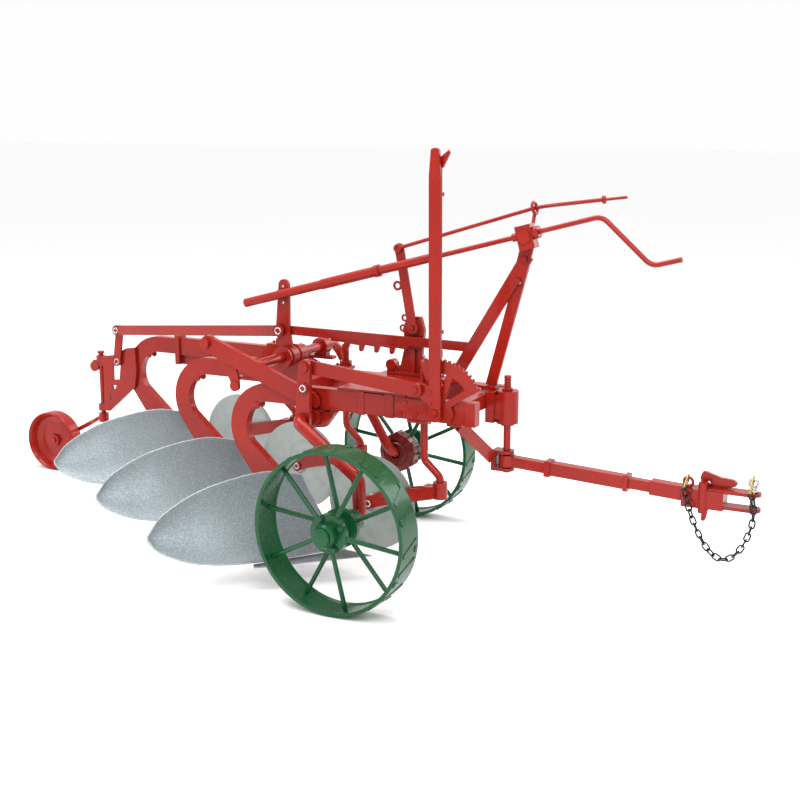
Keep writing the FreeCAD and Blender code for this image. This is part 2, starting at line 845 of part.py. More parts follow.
def coulter_clamps():
    """Saddles on the beams that grip the coulter shanks."""
    pieces = []
    for index in range(3):
        shank_x = float(coulter_places(index)[2])
        y = float(bottom_y(index))
        cap = block(f"saddle_cap_{index}", (shank_x - 48, y - 22, beam_top + 0.2), 96, 76, 14)
        socket = cylinder(
            f"saddle_socket_{index}", (shank_x, y + 48, beam_top + 0.2), (0, 0, 1), 30, 34
        )
        base = block(f"saddle_base_{index}", (shank_x - 48, y - 22, 735.8), 96, 76, 14)
        hole = cylinder(
            f"saddle_hole_{index}", (shank_x, y + 48, 700), (0, 0, 1), size("coulter_shank_radius"), 400
        )
        bolts = [
            rod(
                f"saddle_bolt_{index}_{number}",
                (shank_x + dx, y + 30, 727),
                (shank_x + dx, y + 30, 868),
                6,
            )
            for number, dx in enumerate((-36, 36))
        ]
        solid = fuse(f"saddle_{index}", [cap, socket, base] + bolts)
        pieces.append(cut(f"saddle_bored_{index}", solid, [hole]))
    publish(group("saddle_group", pieces), "coulter_clamps")


def coulter_shanks():
    """Round shanks; each cranks forward near its foot and turns down into the yoke's swivel."""
    pieces = []
    for index in range(3):
        shank_x = float(coulter_places(index)[2])
        y = float(bottom_y(index)) + 48
        route = [(shank_x, y, 960), (shank_x, y, 560), (shank_x + 78, y, 490), (shank_x + 78, y, 405)]
        pieces.append(bent_bar(f"shank_{index}", route, 40, size("coulter_shank_radius")))
    publish(group("shank_group", pieces), "coulter_shanks")


def coulter_yoke(index):
    """The trailing yoke: swivel collar on the shank's foot and an arm to the disc's hub."""
    disc_x, disc_y, shank_x = (float(number) for number in coulter_places(index))
    z = float(size("coulter_height"))
    swivel_x = shank_x + 78
    swivel_y = float(bottom_y(index)) + 48
    collar = cylinder("yoke_collar", (swivel_x, swivel_y, 395), (0, 0, 1), 32, 74)
    bore = cylinder("yoke_bore", (swivel_x, swivel_y, 402), (0, 0, 1), 17.5, 90)
    arms = []
    for side, offset in (("near", -26), ("far", 16)):
        corners = [
            (swivel_x - 8, 404),
            (swivel_x - 8, 460),
            (disc_x + 60, z + 62),
            (disc_x - 4, z + 30),
            ("arc", (disc_x - 30, z), (disc_x - 4, z - 30)),
            (disc_x + 60, z - 4),
        ]
        arms.append(plate(f"yoke_arm_{side}", corners, disc_y + offset, 10))
    bridge = block(
        "yoke_bridge", (swivel_x - 60, disc_y - 26, 408), 52, swivel_y - disc_y + 26, 48
    )
    pin = cylinder("yoke_pin", (disc_x, disc_y - 34, z), (0, 1, 0), 10, 68)
    eyes = [
        cylinder(f"yoke_eye_{number}", (disc_x, disc_y + offset, z), (0, 1, 0), 19, 8)
        for number, offset in enumerate((-34, 26))
    ]
    solid = fuse(f"yoke_solid_{index}", [collar, bridge, pin] + arms + eyes)
    publish(cut(f"yoke_{index}", solid, [bore]), f"coulter_yoke_{BOTTOMS[index]}")


def coulter_disc(index):
    """Cutting disc with a bevelled edge and a boss that runs on the yoke's pin."""
    disc_x, disc_y, _ = coulter_places(index)
    radius = size("coulter_radius")
    section = [
        (10.5, -13),
        (34, -13),
        (42, -3),
        (radius - 24, -3),
        (radius, -0.6),
        (radius, 0.6),
        (radius - 24, 3),
        (42, 3),
        (34, 13),
        (10.5, 13),
    ]
    disc = turned(f"disc_{index}", section, (disc_x, disc_y, size("coulter_height")))
    publish(disc, f"coulter_disc_{BOTTOMS[index]}")


# ---------------------------------------------------------------------------------------------
# Spoked wheels
# ---------------------------------------------------------------------------------------------
def wheel_tyre(name, centre, width):
    """Flat steel tyre with slanting low lugs in pairs and the spokes' rivet heads."""
    outer = size("wheel_radius") - size("lug_height")
    inner = outer - size("tyre_thickness")
    half = float(width) / 2
    section = [
        (inner - 4, -half),
        (outer, -half),
        (outer, half),
        (inner - 4, half),
        (inner - 4, half - 9),
        (inner, half - 16),
        (inner, -half + 16),
        (inner - 4, -half + 9),
    ]
    tyre = turned(f"{name}_hoop", section, centre)
    lugs = []
    top = float(size("wheel_radius"))
    count = int(DIMENSIONS["spoke_count"])
    for number in range(count):
        for side in (-1, 1):
            angle = 360 / count * (number + 0.5) + 11 + side * 7
            lug = block(f"{name}_lug", (-9, -half * 0.86, top - 22), 18, half * 1.72, 19.5)
            slant = FreeCAD.Rotation(Vector(0, 0, 1), 24)
            around = FreeCAD.Rotation(Vector(0, 1, 0), angle)
            lug.Placement = FreeCAD.Placement(
                point(*centre) + around.multVec(slant.multVec(lug.Placement.Base)),
                around.multiply(slant),
            )
            lugs.append(lug)
    ring = turned(
        f"{name}_lug_limit",
        [(outer - 6, -half), (top, -half), (top, half), (outer - 6, half)],
        centre,
    )
    common = doc.addObject("Part::Common", f"{name}_lugs")
    common.Base = fuse(f"{name}_lug_bars", lugs)
    common.Tool = ring
    return fuse(f"{name}_tyre", [tyre, common])


def wheel_centre(name, centre, reach, collar):
    """Turned hub with two flanges, and round spokes staggered between them."""
    x, y, z = (float(number) for number in centre)
    flange = size("hub_flange_radius")
    barrel = size("hub_barrel_radius")
    bore = size("wheel_axle_radius") + size("running_gap")
    low, high = collar
    section = [
        (bore, low),
        (barrel - 12, low),
        (barrel - 4, low + 14),
        (barrel - 4, -60),
        (flange, -58),
        (flange, -36),
        (barrel, -30),
        (barrel, 30),
        (flange, 36),
        (flange, 58),
        (barrel - 4, 60),
        (barrel - 4, high),
        (bore, high),
    ]
    hub = turned(f"{name}_hub", section, centre)
    rim = float(size("wheel_radius") - size("lug_height") - size("tyre_thickness"))
    spokes = []
    count = int(DIMENSIONS["spoke_count"])
    for number in range(count):
        angle = math.radians(360 / count * (number + 0.5) + 9)
        seat = -47 if number % 2 else 47
        start = (x + 70 * math.cos(angle), y + seat, z + 70 * math.sin(angle))
        end = (
            x + (rim - 0.2) * math.cos(angle),
            y + seat * reach,
            z + (rim - 0.2) * math.sin(angle),
        )
        spokes.append(rod(f"{name}_spoke_{number}", start, end, size("spoke_diameter") / 2))
    trim = turned(
        f"{name}_spoke_limit",
        [(rim - 1, -90), (rim + 30, -90), (rim + 30, 90), (rim - 1, 90)],
        centre,
    )
    shortened = cut(f"{name}_spokes", fuse(f"{name}_spoke_set", spokes), [trim])
    return fuse(f"{name}_centre", [hub, shortened])


def wheels():
    furrow = (0, 0, size("wheel_radius"))
    land = (size("land_wheel_x"), size("land_wheel_y"), size("wheel_radius"))
    publish(wheel_tyre("furrow", furrow, size("furrow_tyre_width")), "furrow_wheel_tyre")
    publish(wheel_centre("furrow", furrow, 0.3, (-112, 150)), "furrow_wheel_centre")
    publish(wheel_tyre("land", land, size("land_tyre_width")), "land_wheel_tyre")
    publish(wheel_centre("land", land, 0.2, (-72, 112)), "land_wheel_centre")


def furrow_axle():
    """Crank axle of the furrow wheel: pivot in its bearing, bend, then the wheel's stub."""
    pivot_x = size("furrow_pivot_x")
    pivot_z = size("furrow_pivot_z")
    axle_z = size("wheel_radius")
    radius = size("crank_tube_radius")
    route = [
        (pivot_x, 520, pivot_z),
        (pivot_x, 300, pivot_z),
        (-8, 214, 520),
        (0, 206, axle_z),
        (0, 150.6, axle_z),
    ]
    tube = bent_bar("furrow_axle_tube", route, 48, radius)
    stub = cylinder("furrow_stub", (0, -94, axle_z), (0, 1, 0), size("wheel_axle_radius"), 260)
    nut = cylinder("furrow_stub_nut", (0, 150.6, axle_z), (0, 1, 0), 40, 14)
    publish(fuse("furrow_axle_solid", [tube, stub, nut]), "furrow_axle")


def furrow_arm():
    """Upright arm clamped on the crank axle, with two pin bosses."""
    x = float(size("furrow_pivot_x"))
    z = float(size("furrow_pivot_z"))
    reach = float(size("furrow_arm_length"))
    lean = 15
    corners = [
        (x - 38, z - 20),
        ("arc", (x, z - 44), (x + 38, z - 20)),
        (x + lean + 30, z + reach + 4),
        ("arc", (x + lean, z + reach + 34), (x + lean - 30, z + reach + 4)),
    ]
    body = plate("furrow_arm_plate", corners, 340, 22)
    bosses = [
        cylinder(f"furrow_arm_boss_{number}", (x + lean - 2, 331, z + height), (0, 1, 0), 24, 12)
        for number, height in enumerate((reach, reach - 92))
    ]
    pin = cylinder("furrow_arm_pin", (x + lean, 350, z + reach), (0, 1, 0), 13, 46)
    bore = cylinder("furrow_arm_bore", (x, 300, z), (0, 1, 0), size("crank_tube_radius"), 100)
    solid = fuse("furrow_arm_solid", [body, pin] + bosses)
    publish(cut("furrow_arm_bored", solid, [bore]), "furrow_arm")


# ---------------------------------------------------------------------------------------------
# Hand lever and its link to the furrow wheel
# ---------------------------------------------------------------------------------------------
def hand_lever():
    """Long flat levelling lever with a tapered grip, a foot plate and a spring latch."""
    x = float(size("lever_pivot_x"))
    z = float(size("lever_pivot_z"))
    half = float(size("lever_width")) / 2
    top = z + float(size("lever_height"))
    near_y = 389
    blade = plate(
        "lever_blade",
        [
            (x - half, z - 30),
            ("arc", (x, z - 42), (x + half, z - 30)),
            (x + half, top - 115),
            (x + 18, top - 8),
            ("arc", (x, top), (x - 18, top - 8)),
            (x - half, top - 115),
        ],
        near_y,
        size("lever_thickness"),
    )
    foot = plate(
        "lever_foot",
        [
            (x - 4, z + 14),
            (x - 4, z + 112),
            (x - 78, z + 122),
            ("arc", (x - 108, z + 94), (x - 88, z + 68)),
        ],
        near_y,
        size("lever_thickness"),
    )
    rivets = [
        cylinder(f"lever_rivet_{number}", (x - 20, near_y - 4, z + dz), (0, 1, 0), 9, 5)
        for number, dz in enumerate((36, 88))
    ]
    hole = cylinder("lever_hole", (x, 300, z), (0, 1, 0), 15.5, 200)
    rod_y = near_y + float(size("lever_thickness")) + 12
    guides = [
        block(f"latch_guide_{number}", (x + 4, near_y + 14, height), 22, 24, 16)
        for number, height in enumerate((z + 335, z + 905))
    ]
    guide_bore = cylinder("guide_bore", (x + 15, rod_y, z + 200), (0, 0, 1), 6.4, 900)
    solid = fuse("lever_solid", [blade, foot] + rivets + guides)
    publish(cut("lever_bored", solid, [hole, guide_bore]), "hand_lever")
    latch_rod = cylinder("latch_rod", (x + 15, rod_y, z + 262), (0, 0, 1), 6, 800)
    pawl = block("latch_pawl", (x + 7, rod_y - 7, z + 233), 16, 14, 34)
    grip = plate(
        "latch_grip",
        [
            (x + 8, z + 1058),
            (x + 52, z + 1092),
            (x + 58, z + 1080),
            (x + 26, z + 1020),
            (x + 8, z + 1020),
        ],
        rod_y - 5,
        10,
    )
    publish(fuse("latch_solid", [latch_rod, pawl, grip]), "lever_latch")


def lever_link():
    """Flat bar from the axle's upright arm to the lever's foot."""
    rear = (
        float(size("furrow_pivot_x")) + 15,
        float(size("furrow_pivot_z") + size("furrow_arm_length")),
    )
    front = (float(size("lever_pivot_x")) - 82, float(size("lever_pivot_z")) + 94)
    strap = bar("link_strap", (rear[0], 375, rear[1]), (front[0], 375, front[1]), 60, 14)
    ends = [
        cylinder(f"link_end_{number}", (x, 368, z), (0, 1, 0), 30, 14)
        for number, (x, z) in enumerate((rear, front))
    ]
    hole = cylinder("link_hole", (rear[0], 300, rear[1]), (0, 1, 0), 13.5, 120)
    button = cylinder("link_button", (front[0], 360, front[1]), (0, 1, 0), 15, 9)
    publish(cut("link_bored", fuse("link_solid", [strap, button] + ends), [hole]), "lever_link")


# ---------------------------------------------------------------------------------------------
# Lift shaft, land wheel crank, depth arm and its links
# ---------------------------------------------------------------------------------------------
def land_crank(name, radius):
    """The bent bar from the lift shaft's right end to the land wheel."""
    x = size("lift_shaft_x")
    z = size("lift_shaft_z")
    wheel_x = size("land_wheel_x")
    wheel_y = float(size("land_wheel_y"))
    low = float(size("wheel_radius"))
    route = [(x, 419, z), (x, 1205, z), (wheel_x, 1205, low), (wheel_x, wheel_y - 74, low)]
    return bent_bar(name, route, 62, radius)


def land_axle():
    """Lift shaft across the beams, cranked down at its left end to the land wheel's stub."""
    tube = land_crank("land_axle_bar", size("lift_shaft_radius"))
    seat = (size("land_wheel_x"), float(size("land_wheel_y")) - 76, size("wheel_radius"))
    stub = cylinder("land_stub", seat, (0, 1, 0), size("wheel_axle_radius"), 200)
    publish(fuse("land_axle_solid", [tube, stub]), "land_axle")


def clutch_drum():
    """Ribbed housing of the lift clutch, clamped on the land wheel's crank beside the hub."""
    x = float(size("land_wheel_x"))
    y = float(size("land_wheel_y"))
    z = float(size("wheel_radius"))
    section = [(27, -146), (70, -146), (97, -132), (97, -88), (90, -76), (27, -76)]
    drum = turned("drum_turned", section, (x, y, z))
    lugs = []
    for number in range(6):
        angle = math.radians(60 * number + 30)
        lugs.append(
            rod(
                f"drum_lug_{number}",
                (x + 95 * math.cos(angle), y - 136, z + 95 * math.sin(angle)),
                (x + 95 * math.cos(angle), y - 82, z + 95 * math.sin(angle)),
                13,
            )
        )
    cap = turned("drum_cap", [(27, -152), (52, -152), (58, -144), (27, -144)], (x, y, z))
    trim = cylinder("drum_trim", (x, y - 200, z), (0, 1, 0), 27, 300)
    path = land_crank("drum_path", size("lift_shaft_radius") + 0.2)
    solid = fuse("drum_solid", [drum, cap] + lugs)
    publish(cut("drum_bored", solid, [trim, path]), "clutch_drum")


def depth_arm():
    """Upright arm keyed on the lift shaft; screw on its upper part, links on its eyelet."""
    x = float(size("lift_shaft_x"))
    z = float(size("lift_shaft_z"))
    y = float(size("tower_y")) - 8
    height = float(size("depth_arm_height"))
    pin_x = x + float(size("link_pin_offset"))
    pin_z = z + float(size("link_pin_height"))
    top_x = x - 10
    corners = [
        (x - 34, z + 20),
        (pin_x - 26, pin_z - 10),
        (pin_x - 24, pin_z + 30),
        (top_x - 29, z + height - 24),
        ("arc", (top_x, z + height + 4), (top_x + 27, z + height - 24)),
        (x + 16, pin_z),
        (x + 34, z + 20),
    ]
    blade = plate("depth_blade", corners, y, 16)
    sleeve = cylinder("depth_sleeve", (x, y - 44, z), (0, 1, 0), 46, 112)
    ribs = [
        cylinder(f"depth_rib_{number}", (x, y + offset, z), (0, 1, 0), 52, 12)
        for number, offset in enumerate((-44, -14, 56))
    ]
    pin = cylinder("depth_link_pin", (pin_x, y - 24, pin_z), (0, 1, 0), 11, 64)
    screw_pin = cylinder(
        "depth_screw_pin", (size("screw_pivot_x"), y - 12, size("screw_pivot_z")), (0, 1, 0), 9, 28
    )
    tools = [cylinder("depth_bore", (x, y - 100, z), (0, 1, 0), size("lift_shaft_radius"), 240)]
    for number, dz in enumerate((-41, 37)):
        tools.append(cylinder(f"depth_hole_{number}", (x - 18, y - 50, z + 296 + dz), (0, 1, 0), 8, 100))
    solid = fuse("depth_solid", [blade, sleeve, pin, screw_pin] + ribs)
    publish(cut("depth_bored", solid, tools), "depth_arm")


REAR_PIVOT = (-2111, 686)
REAR_ARM = (28, 181)


def rear_link():
    """Long flat link from the depth arm back to the rear rocker."""
    x = float(size("lift_shaft_x")) + float(size("link_pin_offset"))
    z = float(size("lift_shaft_z")) + float(size("link_pin_height"))
    start = Vector(x, 736, z)
    end = Vector(REAR_PIVOT[0] + REAR_ARM[0], 1186, REAR_PIVOT[1] + REAR_ARM[1])
    run = end - start
    strap = block("rear_link_strap", (0, 0, 0), run.Length - 40, 12, 52)
    turn = FreeCAD.Rotation(run, Vector(0, 0, 1).cross(run), Vector(0, 0, 1), "XZY")
    strap.Placement = FreeCAD.Placement(
        start + run.normalize() * 20 - turn.multVec(Vector(0, 6, 26)), turn
    )
    ends = [
        cylinder(f"rear_link_eye_{number}", (tip.x, tip.y - 7, tip.z), (0, 1, 0), 28, 14)
        for number, tip in enumerate((start, end))
    ]
    lips = [
        cylinder("rear_link_lip", (end.x, end.y - 12, end.z), (0, 1, 0), 20, 6),
    ]
    pin = cylinder("rear_link_pin", (end.x, end.y, end.z), (0, 1, 0), 9, 30)
    hole = cylinder("rear_link_hole", (start.x, 600, start.z), (0, 1, 0), 11.5, 240)
    solid = fuse("rear_link_solid", [strap, pin] + ends + lips)
    publish(cut("rear_link_bored", solid, [hole]), "rear_link")


def front_link():
    """Level link from the depth arm forward past the stand, with hooked teeth underneath."""
    x = float(size("lift_shaft_x")) + float(size("link_pin_offset"))
    z = float(size("lift_shaft_z")) + float(size("link_pin_height"))
    strap = bar("front_link_strap", (x, 779, z), (226, 779, z - 8), 42, 14)
    ends = [
        cylinder("front_link_eye", (x, 772, z), (0, 1, 0), 28, 14),
        cylinder("front_link_tip", (226, 772, z - 8), (0, 1, 0), 21, 14),
    ]
    corners = [(-470, z - 18), (-470, z - 34), (-398, z - 36)]
    for number in range(4):
        left = -398 + 80 * number
        corners += [
            (left, z - 62),
            ("arc", (left + 12, z - 72), (left + 22, z - 62)),
            (left + 30, z - 40),
            (left + 80, z - 44),
        ]
    corners += [(-40, z - 18)]
    rack = plate("front_link_rack", corners, 773, 12)
    hole = cylinder("front_link_hole", (x, 700, z), (0, 1, 0), 11.5, 160)
    publish(cut("front_link_bored", fuse("front_link_solid", [strap, rack] + ends), [hole]), "front_link")


# ---------------------------------------------------------------------------------------------
# Depth screw
# ---------------------------------------------------------------------------------------------
SCREW_Y = 718


def screw_line():
    """Start of the screw's axis at the depth arm, its direction, and a point along it."""
    start = point(size("screw_pivot_x"), SCREW_Y, size("screw_pivot_z"))
    end = point(size("trunnion_x"), SCREW_Y, size("trunnion_z"))
    along = (end - start).normalize()
    return start, end, along


def screw_tube():
    """Threaded tube pinned to the depth arm; the crank rod winds into its front end."""
    start, _, along = screw_line()
    radius = size("screw_tube_radius")
    stages = [
        (-190, 500, radius - 1),
        (250, 300, radius + 2),
        (540, 24, radius + 6),
        (564, 280, radius - 2),
    ]
    pieces = []
    for number, (begin, length, stage_radius) in enumerate(stages):
        first = start + along * begin
        last = start + along * (begin + length)
        pieces.append(rod(f"tube_stage_{number}", tuple(first), tuple(last), stage_radius))
    ear = cylinder("tube_ear", (start.x, SCREW_Y + 10, start.z), (0, 1, 0), 24, 22)
    pin_hole = cylinder("tube_pin_hole", (start.x, SCREW_Y + 20, start.z), (0, 1, 0), 9.5, 40)
    inside = start + along * 60
    outside = start + along * 900
    bore = rod("tube_bore", tuple(inside), tuple(outside), size("screw_rod_radius") + 5)
    solid = fuse("tube_solid", pieces + [ear])
    publish(cut("tube_bored", solid, [bore, pin_hole]), "screw_tube")


def crank_rod():
    """Screw rod with its collar, and the crank handle bent at its front end."""
    start, end, along = screw_line()
    down = Vector(0, 1, 0).cross(along)
    tail = start + along * 640
    elbow = end + along * 345
    corner = elbow + along * 160 + down * float(size("crank_throw"))
    grip = corner + along * 128
    route = [tuple(tail), tuple(elbow), tuple(corner), tuple(grip)]
    handle = bent_bar("crank_bar", route, 62, size("screw_rod_radius"))
    collars = [
        rod("crank_collar_front", tuple(end + along * 38), tuple(end + along * 62), 27),
        rod("crank_collar_rear", tuple(end - along * 62), tuple(end - along * 40), 18),
    ]
    publish(fuse("crank_solid", [handle] + collars), "screw_crank")


def trunnion():
    """Swivelling block on the tower through which the crank rod runs."""
    _, end, along = screw_line()
    turn = FreeCAD.Rotation(Vector(0, -1, 0), math.degrees(math.atan2(along.z, along.x)))
    body = block("trunnion_body", (0, 0, 0), 72, 52, 104)
    body.Placement = FreeCAD.Placement(end - turn.multVec(Vector(36, 26, 62)), turn)
    hub = cylinder("trunnion_hub", (end.x, SCREW_Y - 34, end.z - 8), (0, 1, 0), 30, 20)
    pivot = cylinder("trunnion_pivot", (end.x, SCREW_Y + 20, end.z), (0, 1, 0), 15, 52)
    bore = rod(
        "trunnion_bore",
        tuple(end - along * 90),
        tuple(end + along * 90),
        size("screw_rod_radius") + size("running_gap"),
    )
    solid = fuse("trunnion_solid", [body, hub, pivot])
    publish(cut("trunnion_bored", solid, [bore]), "screw_trunnion")


# ---------------------------------------------------------------------------------------------
# Trip lever on its stand
# ---------------------------------------------------------------------------------------------
TRIP_PIVOT = (-52, 1081)
TRIP_EYE = (-118, 1441)


def trip_stand():
    """Ribbed casting on the deck that carries the trip lever."""
    x, z = TRIP_PIVOT
    post = plate(
        "stand_post",
        [
            (x - 96, 870.2),
            (x - 70, 900),
            (x - 44, 1010),
            (x - 58, z - 10),
            (x - 34, z + 50),
            (x + 34, z + 50),
            (x + 52, z - 10),
            (x + 40, 960),
            (x + 96, 870.2),
        ],
        814,
        22,
    )
    base = block("stand_base", (x - 120, 796, 857.2), 250, 70, 14)
    ribs = [
        block("stand_rib", (x - 11, 800, 870), 22, 52, 110),
        cylinder("stand_hub", (x, 808, z), (0, 1, 0), 36, 40),
        cylinder("stand_ear", (x - 118, 806, 900), (0, 1, 0), 26, 40),
        block("stand_ear_foot", (x - 140, 812, 857.2), 60, 28, 40),
    ]
    eyes = []
    for number, (dx, dz) in enumerate(((-52, 40), (-62, -8))):
        eye = doc.addObject("Part::Torus", f"stand_eye_{number}")
        eye.Radius1 = 13
        eye.Radius2 = 5
        eye.Placement = FreeCAD.Placement(
            Vector(x + dx, 824, z + dz), FreeCAD.Rotation(Vector(0, 0, 1), Vector(0, 1, 0))
        )
        eyes.append(eye)
    pin = cylinder("stand_pin", (x, 786, z), (0, 1, 0), 11, 30)
    publish(fuse("stand_solid", [post, base, pin] + ribs + eyes), "trip_stand")


def trip_lever():
    """Short upright lever that trips the lift clutch when its rod is pulled."""
    x, z = TRIP_PIVOT
    eye_x, eye_z = TRIP_EYE
    blade = bar("trip_blade", (x, 800, z), (eye_x, 800, eye_z), 44, 11)
    ends = [
        cylinder("trip_low_end", (x, 794.5, z), (0, 1, 0), 28, 11),
        cylinder("trip_high_end", (eye_x, 794.5, eye_z), (0, 1, 0), 22, 11),
    ]
    loop = doc.addObject("Part::Torus", "trip_loop")
    loop.Radius1 = 17
    loop.Radius2 = 6
    loop.Placement = FreeCAD.Placement(
        Vector(-128, 800, 1270), FreeCAD.Rotation(Vector(0, 0, 1), Vector(0, 1, 0))
    )
    pin = cylinder("trip_pin", (eye_x, 780, eye_z), (0, 1, 0), 8, 24)
    hole = cylinder("trip_hole", (x, 700, z), (0, 1, 0), 11.5, 200)
    publish(cut("trip_bored", fuse("trip_solid", [blade, loop, pin] + ends), [hole]), "trip_lever")


def trip_rod():
    """Pull rod through the tower's ring, bent aside past it to clear the crank, with a hand loop."""
    eye_x, eye_z = TRIP_EYE
    y = 783.5
    start = Vector(eye_x, y, eye_z)
    at_ring = Vector(534, y + 16.5, 1640)
    knee = Vector(600, y + 16.5, 1652)
    front = Vector(798, 915, 1675)
    first_run = (at_ring - start).normalize()
    along = (front - knee).normalize()
    route = [tuple(start + first_run * 16), tuple(at_ring), tuple(knee), tuple(front)]
    shaft = bent_bar("trip_rod_bar", route, 150, 8.5)
    eye = cylinder("trip_rod_eye", (eye_x, y - 6, eye_z), (0, 1, 0), 19, 12)
    hole = cylinder("trip_rod_hole", (eye_x, y - 40, eye_z), (0, 1, 0), 8.5, 80)
    side = Vector(-along.y, along.x, 0).normalize() * 12
    tip = front + along * 100
    loop = bent_bar(
        "trip_rod_loop",
        [tuple(front + side), tuple(tip + side), tuple(tip - side), tuple(front - side)],
        10,
        5.5,
    )
    neck = rod("trip_rod_neck", tuple(front - along * 4), tuple(front + along * 10), 17.8)
    solid = fuse("trip_rod_solid", [shaft, eye, loop, neck])
    publish(cut("trip_rod_bored", solid, [hole]), "trip_rod")


# ---------------------------------------------------------------------------------------------
# Rear furrow wheel
# ---------------------------------------------------------------------------------------------
def rear_bracket():
    """Windowed casting behind the rear standard, with the two lugs of the upright post."""
    post_x = float(size("rear_post_x"))
    y = float(bottom_y(2))
    near_y = y - 40
    web = plate(
        "bracket_web",
        [
            (-1996, 770),
            (-2060, 760),
            (-2140, 716),
            (post_x + 8, 700),
            (post_x + 8, 668),
            (post_x + 34, 640),
            (post_x + 26, 436),
            (post_x + 8, 424),
            (post_x + 8, 392),
            (post_x + 62, 392),
            (-2006, 548),
            (-1990, 640),
        ],
        near_y,
        18,
    )
    lugs = [
        cylinder(f"bracket_lug_{number}", (post_x, y - 17, z), (0, 0, 1), 27, height)
        for number, (z, height) in enumerate(((664, 38), (388, 38)))
    ]
    ear = cylinder("bracket_ear", (post_x - 36, near_y + 2, 640), (0, 1, 0), 29, 14)
    arm = block("bracket_ear_arm", (post_x - 44, near_y + 4, 645), 60, 9, 32)
    tools = [
        plate("bracket_window_0", [(-2158, 655), (-2100, 662), (-2112, 580), (-2160, 574)], 1000, 400),
        plate("bracket_window_1", [(-2172, 546), (-2134, 544), (-2150, 516), (-2164, 520)], 1000, 400),
        plate("bracket_window_2", [(-2180, 496), (-2166, 494), (-2176, 452), (-2188, 458)], 1000, 400),
        cylinder("bracket_bore", (post_x, y - 17, 300), (0, 0, 1), size("rear_post_radius") + 0.5, 500),
    ]
    pivot = cylinder("bracket_pivot", (REAR_PIVOT[0], near_y - 24, REAR_PIVOT[1]), (0, 1, 0), 11, 40)
    solid = fuse("bracket_solid", [web, ear, arm, pivot] + lugs)
    publish(cut("bracket_cut", solid, tools), "rear_bracket")


def rear_rocker():
    """Upright rocker that the rear link swings on the bracket."""
    x, z = REAR_PIVOT
    top = (x + REAR_ARM[0], z + REAR_ARM[1])
    blade = bar("rocker_blade", (x, 1210, z), (top[0], 1210, top[1]), 46, 12)
    ends = [
        cylinder("rocker_low_end", (x, 1204, z), (0, 1, 0), 26, 12),
        cylinder("rocker_high_end", (top[0], 1204, top[1]), (0, 1, 0), 25, 12),
    ]
    holes = [
        cylinder("rocker_low_hole", (x, 1100, z), (0, 1, 0), 11.5, 200),
        cylinder("rocker_high_hole", (top[0], 1100, top[1]), (0, 1, 0), 15, 200),
    ]
    publish(cut("rocker_bored", fuse("rocker_solid", [blade] + ends), holes), "rear_rocker")


def rear_post():
    """Upright post that slides in the bracket's lugs and lets the rear wheel trail."""
    x = size("rear_post_x")
    y = float(bottom_y(2)) - 17
    post = cylinder("rear_post_bar", (x, y, 318), (0, 0, 1), size("rear_post_radius"), 404)
    cap = cylinder("rear_post_cap", (x, y, 716), (0, 0, 1), 20, 12)
    publish(fuse("rear_post_solid", [post, cap]), "rear_post")


def rear_fork():
    """Trailing arm of the rear wheel: collar on the post, sloping arm and stub axle."""
    x = float(size("rear_post_x"))
    y = float(bottom_y(2)) - 17
    wheel_x = float(size("rear_wheel_x"))
    z = float(size("rear_wheel_radius"))
    side_y = y + 66
    collar = cylinder("fork_collar", (x, y, 322), (0, 0, 1), 28, 50)
    route = [(x - 10, y, 352), (x - 150, side_y, 286), (wheel_x, side_y, z)]
    arm = bent_bar("fork_arm", route, 60, 13)
    stub = cylinder("fork_stub", (wheel_x, y - 16, z), (0, 1, 0), 15, 102)
    bore = cylinder("fork_bore_post", (x, y, 300), (0, 0, 1), size("rear_post_radius") + 0.5, 120)
    solid = fuse("rear_fork_solid", [collar, arm, stub])
    publish(cut("rear_fork_bored", solid, [bore]), "rear_fork")


def rear_wheel():
    """Small dished wheel with a rolled rim."""
    radius = size("rear_wheel_radius")
    section = [
        (15.5, -8),
        (32, -8),
        (35, 12),
        (radius - 66, 18),
        (radius - 32, 4),
        (radius - 18, -26),
        (radius - 8, -40),
        (radius - 2, -38),
        (radius, -30),
        (radius, 34),
        (radius - 3, 42),
        (radius - 12, 44),
        (radius - 14, 6),
        (radius - 24, 16),
        (radius - 60, 30),
        (36, 26),
        (33, 44),
        (15.5, 44),
    ]
    y = float(bottom_y(2)) - 17
    wheel = turned("rear_wheel_turned", section, (size("rear_wheel_x"), y, radius))
    publish(wheel, "rear_wheel")


# ---------------------------------------------------------------------------------------------
# Drawbar and hitch head
# ---------------------------------------------------------------------------------------------
def drawbar_line(x):
    """Height of the drawbar's middle at a distance along the plow."""
    slope = (float(size("drawbar_z")) - 484) / (1300 - float(size("post_x")))
    return float(size("drawbar_z")) - slope * (x - float(size("post_x")))


def drawbar():
    """Long pull bar: eye round the post, stepped square bar with clamp rings."""
    y = float(size("tower_y"))
    x = float(size("post_x"))
    z = float(size("drawbar_z"))
    eye = cylinder("drawbar_eye", (x, y, z - 26), (0, 0, 1), 36, 52)
    steps = [(x + 20, 650, 46, 46), (645, 1004, 56, 50), (1000, 1104, 44, 40), (1100, 1236, 60, 54)]
    pieces = [eye]
    for number, (begin, end, depth, width) in enumerate(steps):
        first = (begin, y, drawbar_line(begin))
        last = (end, y, drawbar_line(end))
        pieces.append(bar(f"drawbar_step_{number}", first, last, depth, width))
    for number, (begin, width) in enumerate(((626, 26), (985, 20))):
        first = (begin, y, drawbar_line(begin))
        last = (begin + width, y, drawbar_line(begin + width))
        pieces.append(bar(f"drawbar_ring_{number}", first, last, 70, 62))
    bore = cylinder("drawbar_bore", (x, y, 400), (0, 0, 1), size("post_radius") + 0.5, 250)
    publish(cut("drawbar_bored", fuse("drawbar_solid", pieces), [bore]), "drawbar")


